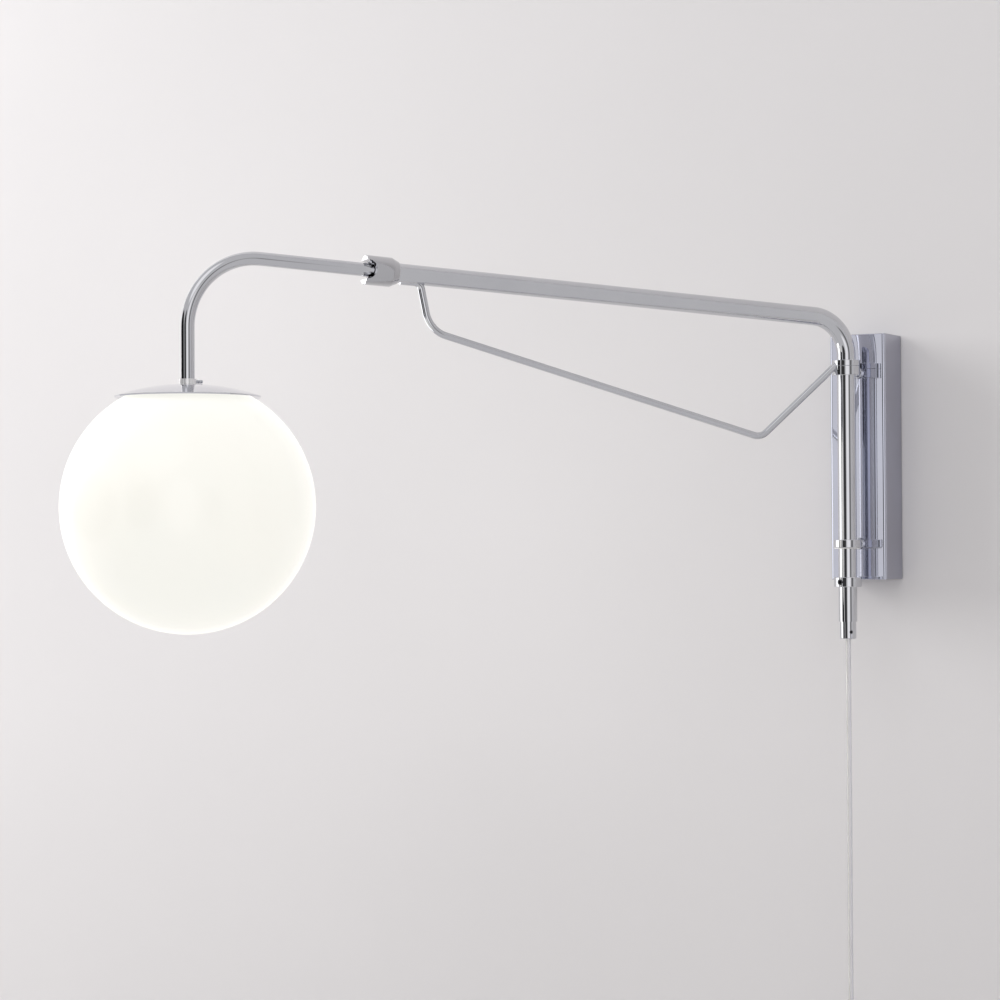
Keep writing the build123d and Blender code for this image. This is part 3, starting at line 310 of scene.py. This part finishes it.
def roundEdges(bm, edges, width, segments):
    bmesh.ops.bevel(
        bm, geom=edges, offset=width * mm, offset_type="OFFSET", affect="EDGES",
        segments=segments, profile=0.5, material=-1, clamp_overlap=True,
    )


def sharpEdges(bm, angle):
    # the edges that fold by more than this many degrees
    folded = [e for e in bm.edges if len(e.link_faces) == 2]
    return [e for e in folded if e.calc_face_angle(0) > radians(angle)]


def turnedShape(profile, origin, along, sides, closed=True):
    # spins a half section, given as distance along the axis and radius, round that axis
    bm = bmesh.new()
    square = along.orthogonal().normalized()
    corners = [bm.verts.new(origin + along * far * mm + square * out * mm) for far, out in profile]
    ring = [bm.edges.new(pair) for pair in zip(corners, corners[1:])]
    if closed:
        ring.append(bm.edges.new((corners[-1], corners[0])))
    bmesh.ops.spin(
        bm, geom=corners + ring, cent=origin, axis=along, angle=2 * pi, steps=sides,
        use_merge=True, use_duplicate=False,
    )
    bmesh.ops.remove_doubles(bm, verts=bm.verts, dist=weldGap)
    bmesh.ops.dissolve_degenerate(bm, edges=bm.edges, dist=weldGap / 2)
    bmesh.ops.recalc_face_normals(bm, faces=bm.faces)
    return bm


def bentShape(corners, radii, tubeRadius, sides, bendStep=3.0):
    # carries a ring along straight runs and round bends, all in the arm's upright plane
    points = [Vector(corner) for corner in corners]
    bm = bmesh.new()
    first = (points[1] - points[0]).normalized()
    heading = outward * first.x + upward * first.y
    start = armPoint(*points[0])
    facing = heading.to_track_quat("Z", "Y").to_matrix().to_4x4()
    bmesh.ops.create_circle(
        bm, cap_ends=False, radius=tubeRadius * mm, segments=sides,
        matrix=Matrix.Translation(start) @ facing,
    )
    rim = bm.edges[:]
    spot = start
    used = 0.0
    for index in range(1, len(points)):
        arriving = points[index] - points[index - 1]
        if index < len(points) - 1:
            leaving = points[index + 1] - points[index]
            turn = atan2(arriving.x * leaving.y - arriving.y * leaving.x, arriving.dot(leaving))
            reach = radii[index - 1] * tan(abs(turn) / 2)
        else:
            turn, reach = 0.0, 0.0
        run = arriving.length - used - reach
        made = bmesh.ops.extrude_edge_only(bm, edges=rim)["geom"]
        moved = [item for item in made if isinstance(item, bmesh.types.BMVert)]
        rim = [item for item in made if isinstance(item, bmesh.types.BMEdge)]
        bmesh.ops.translate(bm, verts=moved, vec=heading * run * mm)
        spot = spot + heading * run * mm
        if turn:
            bendRadius = radii[index - 1] * mm
            inward = sideways.cross(heading) * (1 if turn > 0 else -1)
            centre = spot + inward * bendRadius
            steps = max(4, round(abs(turn) / radians(bendStep)))
            spun = bmesh.ops.spin(
                bm, geom=rim, cent=centre, axis=sideways, angle=turn, steps=steps,
                use_duplicate=False,
            )["geom_last"]
            rim = [item for item in spun if isinstance(item, bmesh.types.BMEdge)]
            swing = Matrix.Rotation(turn, 3, sideways)
            spot = centre + swing @ (spot - centre)
            heading = swing @ heading
        used = reach
    return bm


def softenGroup(crease, mergeGap):
    # merges a node's loose triangles and shades all but its real edges smoothly
    group = bpy.data.node_groups.new("softenShading", "GeometryNodeTree")
    group.interface.new_socket("Geometry", in_out="INPUT", socket_type="NodeSocketGeometry")
    group.interface.new_socket("Geometry", in_out="OUTPUT", socket_type="NodeSocketGeometry")
    nodes, links = group.nodes, group.links
    entry = nodes.new("NodeGroupInput")
    merge = nodes.new("GeometryNodeMergeByDistance")
    merge.inputs["Distance"].default_value = mergeGap
    smooth = nodes.new("GeometryNodeSetShadeSmooth")
    smooth.domain = "FACE"
    fold = nodes.new("GeometryNodeSetShadeSmooth")
    fold.domain = "EDGE"
    fold.inputs["Shade Smooth"].default_value = False
    bend = nodes.new("GeometryNodeInputMeshEdgeAngle")
    sharper = nodes.new("FunctionNodeCompare")
    sharper.data_type = "FLOAT"
    sharper.operation = "GREATER_THAN"
    sharper.inputs[1].default_value = radians(crease)
    leave = nodes.new("NodeGroupOutput")
    links.new(entry.outputs[0], merge.inputs["Geometry"])
    links.new(merge.outputs["Geometry"], smooth.inputs["Geometry"])
    links.new(smooth.outputs["Geometry"], fold.inputs["Geometry"])
    links.new(bend.outputs["Unsigned Angle"], sharper.inputs[0])
    links.new(sharper.outputs["Result"], fold.inputs["Selection"])
    links.new(fold.outputs["Geometry"], leave.inputs[0])
    return group


softenShading = softenGroup(crease=28.0, mergeGap=0.000005)


def soften(piece):
    # hangs the shared smooth shading on a piece
    piece.modifiers.new("soften", "NODES").node_group = softenShading


def addWall(piece, thickness):
    # gives an open shell its wall, growing inwards
    wall = piece.modifiers.new("wall", "SOLIDIFY")
    wall.thickness = thickness * mm
    wall.offset = -1.0
    soften(piece)


def keepFlats(piece):
    # broad faces stay flat beside their narrow rounded edges
    piece.modifiers.new("keepFlats", "WEIGHTED_NORMAL").keep_sharp = True


# Carried-over nodes keep their shapes, and get their finish and smooth shading
ownLook = {"cap_collar": "satin_collar", "clamp_nut": "turned_nut"}
for row in frame["record"]["subparts"]:
    node = frame["nodes"][row["node"]]
    node.data.materials.clear()
    node.data.materials.append(finishes[ownLook.get(row["node"], row["material_slot"])])
    soften(node)
print("swing arm lamp: carried nodes dressed")


# Supply cord, with its hank, from the ferrule to the plug

cordRoute = {
    "diameter": 4.5, "length": 1920.0, "top": -146.0, "turnAside": -494.0, "aside": -518.0,
    "hankTop": -548.0, "hankRun": 80.0, "inner": 13.5, "pitch": 5.2, "turns": 3,
    "waist": 3.0, "near": -62.0, "far": -56.8, "plugTop": -668.5, "fullness": 1.07,
    "strand": 0.5, "strandsApart": (1.0, 0.6), "stepsPerSpan": 10, "roundness": 5,
}


def hankStrokes(route):
    # one row per run: its side, the layer it starts in and the layer it ends in
    near, far = route["near"], route["far"]
    outer = route["inner"] + (route["turns"] - 1) * route["pitch"]
    strokes = []
    for turn in range(route["turns"]):
        side = outer - turn * route["pitch"]
        strokes.append((side, near, near))
        strokes.append((-side, near, far if turn == route["turns"] - 1 else near))
    for turn in range(route["turns"]):
        side = route["inner"] + turn * route["pitch"]
        strokes.append((side, far, far))
        if turn < route["turns"] - 1:
            strokes.append((-(side + route["pitch"]), far, far))
    return strokes


def cordPoints(route):
    # straight down from the ferrule, aside, then round the hank and down to the plug
    outer = route["inner"] + (route["turns"] - 1) * route["pitch"]
    near, far = route["near"], route["far"]
    bottom = route["hankTop"] - route["hankRun"]
    cornerRun = hypot(outer, route["turnAside"] - route["aside"])
    points = [
        (0, near, route["top"]),
        (0, near, route["turnAside"] + cornerRun),
        (0, near, route["turnAside"]),
        (outer, near, route["aside"]),
        (outer, near, route["hankTop"] + route["diameter"]),
    ]
    strokes = hankStrokes(route)
    for index, (x, yFrom, yTo) in enumerate(strokes):
        down = x > 0
        zFrom, zTo = (route["hankTop"], bottom) if down else (bottom, route["hankTop"])
        waistX = x - route["waist"] if down else x + route["waist"]
        points += [
            (x, yFrom, zFrom),
            ((x + waistX) / 2, yFrom + (yTo - yFrom) / 4, zFrom + (zTo - zFrom) / 4),
            (waistX, (yFrom + yTo) / 2, (zFrom + zTo) / 2),
            ((x + waistX) / 2, yTo - (yTo - yFrom) / 4, zTo - (zTo - zFrom) / 4),
            (x, yTo, zTo),
        ]
        if index < len(strokes) - 1:
            nextX = strokes[index + 1][0]
            middle, radius = (x + nextX) / 2, abs(nextX - x) / 2 * route["fullness"]
            for part in (0.25, 0.5, 0.75):  # round the loop to the next run
                swing = pi * part
                side = cos(swing) * radius * (1 if down else -1)
                fall = sin(swing) * radius * (-1 if down else 1)
                points.append((middle + side, yTo, zTo + fall))
    points.append((outer, far, bottom - route["diameter"] * 2))
    points.append((outer, far, route["plugTop"]))
    return [Vector(point) * mm for point in points]


def splineAlong(name, points, radius, finish):
    # a smooth line with the route's points as its control points
    data = bpy.data.curves.new(name, "CURVE")
    data.dimensions = "3D"
    data.resolution_u = cordRoute["stepsPerSpan"]
    data.bevel_depth = radius * mm
    data.bevel_resolution = cordRoute["roundness"]
    data.use_fill_caps = True
    spline = data.splines.new("NURBS")
    spline.points.add(len(points) - 1)
    for point, place in zip(spline.points, points):
        point.co = (*place, 1)
    spline.order_u = 3
    spline.use_endpoint_u = True
    data.materials.append(finish)
    made = bpy.data.objects.new(name, data)
    bpy.context.scene.collection.objects.link(made)
    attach(made, "root")
    return made


routePoints = cordPoints(cordRoute)
supplyCord = splineAlong(
    "supplySheath", routePoints, cordRoute["diameter"] / 2, finishes["clear_cord"],
)
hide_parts("supply_cord", "cord_hank", "plug_lead")
for side, strandName in ((-1, "conductorLeft"), (1, "conductorRight")):
    shift = Vector((*cordRoute["strandsApart"], 0)) * side * mm
    shifted = [point + shift for point in routePoints]
    splineAlong(strandName, shifted, cordRoute["strand"], finishes[strandName])
print("swing arm lamp: cord laid")


# Wall box: deep drawn cover with soft front corners and a thin turned edge

wallBox = {
    "width": 52.0, "depth": 38.0, "height": 216.0, "wall": 1.5, "corner": 2.5, "cornerSteps": 8,
    "edge": 0.7, "edgeSteps": 4,
}
boxSides = Vector((wallBox["width"], wallBox["depth"], wallBox["height"])) * mm
bm = bmesh.new()
bmesh.ops.create_cube(bm, size=1.0)
bmesh.ops.scale(bm, verts=bm.verts, vec=boxSides)
bmesh.ops.translate(bm, verts=bm.verts, vec=(0, -wallBox["depth"] / 2 * mm, 0))
back = [f for f in bm.faces if f.normal.y > 0.9]
bmesh.ops.delete(bm, geom=back, context="FACES")
uprights = []  # the two upright edges of the front
for edge in bm.edges:
    foot, head = edge.verts[0].co, edge.verts[1].co
    if abs(foot.z - head.z) > boxSides.z / 2 and foot.y < -boxSides.y / 2:
        uprights.append(edge)
roundEdges(bm, uprights, wallBox["corner"], wallBox["cornerSteps"])
roundEdges(bm, sharpEdges(bm, angle=60.0), wallBox["edge"], wallBox["edgeSteps"])
# the cover's chrome carries painted reflection and painted shade in its tint
coverBox = finishPiece("coverBox", bm, "root", "chrome", crease=60.0, look="drawn_cover")
addWall(coverBox, wallBox["wall"])
keepFlats(coverBox)
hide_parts("wall_box")


# Stand-off rings, each with a neck, a foot boss and a stud

ringShape = {
    "outer": 24.0, "bore": 18.16, "height": 7.0, "edge": 0.5, "lip": 0.9, "lipBore": 22.9,
    "lipEdge": 0.2, "edgeSteps": 3, "sides": 96, "upperFoot": 70.4, "lowerFoot": -79.9,
}
stemShape = {
    "root": 1.5, "neck": 5.8, "boss": 10.5, "bossThick": 3.0, "bossEdge": 0.4, "fillet": 1.2,
    "standoff": 24.0, "stud": 6.0, "studLong": 11.0, "studTip": 0.6, "sides": 64,
}
outer, bore, top = ringShape["outer"] / 2, ringShape["bore"] / 2, ringShape["height"]
lipTop, lipBore = top + ringShape["lip"], ringShape["lipBore"] / 2
neck, boss, stud = stemShape["neck"] / 2, stemShape["boss"] / 2, stemShape["stud"] / 2
fillet, bossEdge, studTip = stemShape["fillet"], stemShape["bossEdge"], stemShape["studTip"]
neckStart, standoff = outer - stemShape["root"], stemShape["standoff"]
bossStart, studEnd = standoff - stemShape["bossThick"], standoff + stemShape["studLong"]
stemSection = [
    (neckStart, 0), (neckStart, neck), (bossStart - fillet, neck),
    (bossStart - fillet * 0.3, neck + fillet * 0.3),  # the fillet's middle
    (bossStart, neck + fillet), (bossStart, boss - bossEdge), (bossStart + bossEdge, boss),
    (standoff, boss), (standoff, stud), (studEnd - studTip, stud), (studEnd, stud - studTip),
    (studEnd, 0),
]
plainRing = [(0, bore), (0, outer), (top, outer), (top, bore)]
lippedRing = [  # a thin lip hides the bush's flange
    (0, bore), (0, outer), (lipTop, outer), (lipTop, lipBore), (top, lipBore), (top, bore),
]
for place, section, edgeWidth in (
    ("upper", lippedRing, ringShape["lipEdge"]), ("lower", plainRing, ringShape["edge"]),
):
    centre = pivotFoot + upward * ringShape[place + "Foot"] * mm
    bm = turnedShape(section, centre, upward, ringShape["sides"])
    roundEdges(bm, sharpEdges(bm, angle=30.0), edgeWidth, ringShape["edgeSteps"])
    ring = finishPiece(place + "Ring", bm, "root", "chrome")
    keepFlats(ring)
    bm = turnedShape(
        stemSection, centre + upward * top / 2 * mm, Vector((0, 1, 0)), stemShape["sides"],
        closed=False,
    )
    keepFlats(finishPiece(place + "Stem", bm, "root", "chrome"))
    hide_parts(place + "_bracket")
print("swing arm lamp: box and rings made")


# Arm tube, brace rod and gooseneck

armTube = {
    "diameter": 16.0, "wall": 1.2, "foot": -144.2, "end": 414.0, "bend": 34.0, "sides": 72,
}
bm = bentShape(
    [(0, armTube["foot"]), (0, armLine["height"]), onReach(armTube["end"])],
    [armTube["bend"]], armTube["diameter"] / 2, armTube["sides"],
)
armPiece = finishPiece("armTube", bm, "arm", "chrome")
addWall(armPiece, armTube["wall"])
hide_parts("outer_arm_tube")

braceRod = {
    "diameter": 6.0, "stubDrop": 6.3, "stubEnd": 413.0, "topCorner": 395.5,
    "front": (387.1, 99.3), "rear": (84.3, 15.4), "weld": (9.0, 80.4), "radii": [7.0, 24.0, 13.0],
    "sides": 40, "saddle": 7.4,  # from the tube's middle, inside its wall
}
bm = bentShape(
    [
        onReach(braceRod["stubEnd"], -braceRod["stubDrop"]),
        onReach(braceRod["topCorner"], -braceRod["stubDrop"]),
        braceRod["front"], braceRod["rear"], braceRod["weld"],
    ],
    braceRod["radii"], braceRod["diameter"] / 2, braceRod["sides"],
)
bmesh.ops.holes_fill(bm, edges=[e for e in bm.edges if e.is_boundary], sides=0)
reachFoot = armPoint(*onReach(0))
for vert in bm.verts:  # seats the rod on the tube's wall, clear of its bore
    fromMiddle = vert.co - reachFoot
    fromMiddle -= alongReach * fromMiddle.dot(alongReach)
    if fromMiddle.length < braceRod["saddle"] * mm:
        vert.co += fromMiddle.normalized() * (braceRod["saddle"] * mm - fromMiddle.length)
bracePiece = finishPiece("braceRod", bm, "arm", "chrome", crease=50.0)
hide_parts("brace_rod")

neckTube = {
    "diameter": 11.0, "wall": 1.2, "start": 300.0, "bend": 56.0, "foot": 51.85, "sides": 64,
    "bendStep": 2.5,
}
dropCorner = armLine["height"] + armLine["drop"] * tan(riseAngle)
neckLine = [
    onReach(neckTube["start"]), (armLine["drop"], dropCorner), (armLine["drop"], neckTube["foot"]),
]
bm = bentShape(
    neckLine, [neckTube["bend"]], neckTube["diameter"] / 2, neckTube["sides"],
    neckTube["bendStep"],
)
neckPiece = finishPiece("gooseneckTube", bm, "gooseneck", "chrome")
addWall(neckPiece, neckTube["wall"])
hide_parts("gooseneck_tube")
print("swing arm lamp: tubes bent")


# Cap and globe, turned about the drop

capShape = {
    "diameter": 115.0, "rise": 9.65, "sheet": 1.2, "apex": 51.85, "hole": 8.06, "lean": 0.5,
    "spots": 24, "sides": 160,
}
capRadius = capShape["diameter"] / 2
domeRadius = (capRadius ** 2 + capShape["rise"] ** 2) / (2 * capShape["rise"])


def domeHeight(out, radius):
    # height of a face of the dome, some way out from its middle
    return capShape["apex"] - domeRadius + sqrt(radius ** 2 - out ** 2)


spots = capShape["spots"]
holeRadius = capShape["hole"] / 2
over = [holeRadius + (capRadius - holeRadius) * step / spots for step in range(spots + 1)]
inside = domeRadius - capShape["sheet"]
rimInside = capRadius - capShape["lean"]
under = [rimInside - (rimInside - holeRadius) * step / spots for step in range(spots + 1)]
bm = turnedShape(
    [(domeHeight(out, domeRadius), out) for out in over]
    + [(domeHeight(out, inside), out) for out in under],
    dropFoot, upward, capShape["sides"],
)
# the cap's lighter chrome is painted light
capPiece = finishPiece("domeCap", bm, "gooseneck", "chrome", crease=50.0, look="spun_cap")
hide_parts("shade_cap")

globeShape = {
    "diameter": 200.0, "middle": -44.65, "glass": 3.0, "rim": 44.23, "steps": 60, "sides": 160,
}
globeRadius = globeShape["diameter"] / 2
innerRadius = globeRadius - globeShape["glass"]
rimRise = globeShape["rim"] - globeShape["middle"]
outerStart = acos(rimRise / globeRadius)
innerStart = acos(rimRise / innerRadius)
steps, middle = globeShape["steps"], globeShape["middle"]
profile = []
for radius, start, end in ((globeRadius, outerStart, pi), (innerRadius, pi, innerStart)):
    for step in range(steps + 1):
        angle = start + (end - start) * step / steps
        profile.append((middle + radius * cos(angle), radius * sin(angle)))
bm = turnedShape(profile, dropFoot, upward, globeShape["sides"])
globePiece = finishPiece("opalGlobe", bm, "gooseneck", "opal_glass", crease=60.0)
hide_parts("opal_globe")
print("swing arm lamp: cap and globe made")


# Wall, floor and light, in metres and watts

room = {
    "wallY": 0.0008, "half": 4.0, "floor": -0.80, "top": 3.2, "front": -5.0, "rough": 0.85,
    "wallPaint": (0.83, 0.815, 0.82), "floorPaint": (0.47, 0.46, 0.455), "mottle": 0.985,
    "shadeFrom": -0.25, "shadeTo": -0.80, "shadeMost": 0.12,
}


def stageMaterial(name, colour, oneSided):
    made = newMaterial(name, colour, room["rough"])
    nodes, links = made.node_tree.nodes, made.node_tree.links
    shader = nodes["Principled BSDF"]
    darker = tuple(tone * room["mottle"] for tone in colour)
    colourFrom(made, addNoise(made, scale=3.0, detail=2.0), darker, colour)
    if oneSided:  # painted shade darkens the wall's colour towards the floor, and from behind the wall lets the view through
        where, height = nodes.new("ShaderNodeTexCoord"), nodes.new("ShaderNodeSeparateXYZ")
        fall, paintedShade = nodes.new("ShaderNodeMapRange"), nodes.new("ShaderNodeMix")
        fall.inputs["From Min"].default_value = room["shadeFrom"]
        fall.inputs["From Max"].default_value = room["shadeTo"]
        fall.inputs["To Max"].default_value = room["shadeMost"]
        paintedShade.data_type = "RGBA"
        paintedShade.inputs["B"].default_value = (0, 0, 0, 1)
        paint = shader.inputs["Base Color"].links[0].from_socket
        links.new(where.outputs["Object"], height.inputs["Vector"])
        links.new(height.outputs["Z"], fall.inputs["Value"])
        links.new(fall.outputs["Result"], paintedShade.inputs["Factor"])
        links.new(paint, paintedShade.inputs["A"])
        links.new(paintedShade.outputs["Result"], shader.inputs["Base Color"])
        side = nodes.new("ShaderNodeNewGeometry")
        clear = nodes.new("ShaderNodeBsdfTransparent")
        choose = nodes.new("ShaderNodeMixShader")
        links.new(side.outputs["Backfacing"], choose.inputs["Fac"])
        links.new(shader.outputs["BSDF"], choose.inputs[1])
        links.new(clear.outputs["BSDF"], choose.inputs[2])
        links.new(choose.outputs["Shader"], nodes["Material Output"].inputs["Surface"])
    return made


def stagePlane(name, start, end, finish):
    # a wide plane between two level lines, each given by its y and z
    half = room["half"]
    corners = [(-half, *start), (half, *start), (half, *end), (-half, *end)]
    bm = bmesh.new()
    bm.faces.new([bm.verts.new(corner) for corner in corners])
    mesh = bpy.data.meshes.new(name)
    bm.to_mesh(mesh)
    bm.free()
    mesh.materials.append(finish)
    plane = bpy.data.objects.new(name, mesh)
    bpy.context.scene.collection.objects.link(plane)
    return plane


wallFoot, wallTop = (room["wallY"], room["floor"]), (room["wallY"], room["top"])
floorFront = (room["front"], room["floor"])
stagePlane("wallPlane", wallFoot, wallTop, stageMaterial("paleWall", room["wallPaint"], True))
floorPlane = stagePlane(
    "floorPlane", floorFront, wallFoot, stageMaterial("paleFloor", room["floorPaint"], False),
)
floorPlane.visible_glossy = False  # the chrome mirrors the room's even glow below

# The window and the ceiling light the room; the card is only mirrored in the chrome
studioLights = {
    "windowLeft": {
        "place": (-3.3, -0.85, 1.3), "aim": (0.2, -0.1, 0.1), "size": (1.5, 2.4), "power": 110.0,
        "colour": (1.0, 0.995, 0.985), "onlyMirrored": False,
    },
    "ceilingSoft": {
        "place": (-0.9, -1.5, 2.7), "aim": (-0.2, 0.0, 0.0), "size": (2.2, 1.4), "power": 12.0,
        "colour": (1.0, 1.0, 1.0), "onlyMirrored": False,
    },
    "cardLeft": {
        "place": (-0.66, -0.27, 0.06), "aim": (-0.086, 0.549, 0.06), "size": (0.50, 0.6),
        "power": 1.75, "colour": (1.0, 1.0, 1.0), "onlyMirrored": True,
    },
}
for name, light in studioLights.items():
    data = bpy.data.lights.new(name, "AREA")
    data.shape = "RECTANGLE"
    data.size, data.size_y = light["size"]
    data.energy = light["power"]
    data.color = light["colour"]
    lamp = bpy.data.objects.new(name, data)
    looking = (Vector(light["aim"]) - Vector(light["place"])).to_track_quat("-Z", "Y")
    lamp.matrix_world = Matrix.Translation(light["place"]) @ looking.to_matrix().to_4x4()
    lamp.visible_camera = False
    lamp.visible_glossy = light["onlyMirrored"]
    lamp.visible_diffuse = not light["onlyMirrored"]
    bpy.context.scene.collection.objects.link(lamp)

# The room's glow by direction: one level, with darker and brighter patches near the horizon
roomGlow = {
    "level": 0.65, "tint": (1.0, 0.99, 1.0),
    "patches": [  # heading, height, half width and soft edge in degrees, flatness, change
        (-146.0, 0.0, 29.5, 3.4, 1.55, -0.64), (-112.8, 0.0, 3.0, 1.5, 0.3, 0.16),
        (-94.4, 0.0, 15.4, 2.6, 0.8, -0.60), (-57.0, 0.0, 13.0, 6.5, 0.5, 0.50),
        (-29.0, 0.0, 8.0, 4.0, 0.5, -0.46), (-84.0, 46.0, 20.0, 10.0, 1.0, 0.55),
    ],
}
world = bpy.data.worlds.new("studioWorld")
world.use_nodes = True
worldNodes, worldLinks = world.node_tree.nodes, world.node_tree.links
skyWhere = worldNodes.new("ShaderNodeTexCoord")


def glowNode(kind, operation):
    made = worldNodes.new(kind)
    made.operation = operation
    return made


level = None
for heading, height, halfWidth, softEdge, flatness, change in roomGlow["patches"]:
    squash = glowNode("ShaderNodeVectorMath", "MULTIPLY")
    squash.inputs[1].default_value = (1, 1, flatness)
    even = glowNode("ShaderNodeVectorMath", "NORMALIZE")
    aim = glowNode("ShaderNodeVectorMath", "DOT_PRODUCT")
    reach = cos(radians(height))
    aim.inputs[1].default_value = (
        cos(radians(heading)) * reach, sin(radians(heading)) * reach, sin(radians(height)),
    )
    fade = worldNodes.new("ShaderNodeMapRange")
    fade.interpolation_type = "SMOOTHSTEP"
    fade.inputs["From Min"].default_value = cos(radians(halfWidth + softEdge / 2))
    fade.inputs["From Max"].default_value = cos(radians(halfWidth - softEdge / 2))
    fade.inputs["To Max"].default_value = change
    total = glowNode("ShaderNodeMath", "ADD")
    worldLinks.new(skyWhere.outputs["Generated"], squash.inputs[0])
    worldLinks.new(squash.outputs["Vector"], even.inputs[0])
    worldLinks.new(even.outputs["Vector"], aim.inputs[0])
    worldLinks.new(aim.outputs["Value"], fade.inputs["Value"])
    worldLinks.new(fade.outputs["Result"], total.inputs[0])
    if level is None:
        total.inputs[1].default_value = roomGlow["level"]
    else:
        worldLinks.new(level, total.inputs[1])
    level = total.outputs["Value"]
worldNodes["Background"].inputs["Color"].default_value = (*roomGlow["tint"], 1)
worldLinks.new(level, worldNodes["Background"].inputs["Strength"])
bpy.context.scene.world = world
bpy.context.scene.view_settings.view_transform = "Standard"
print("swing arm lamp: room lit")
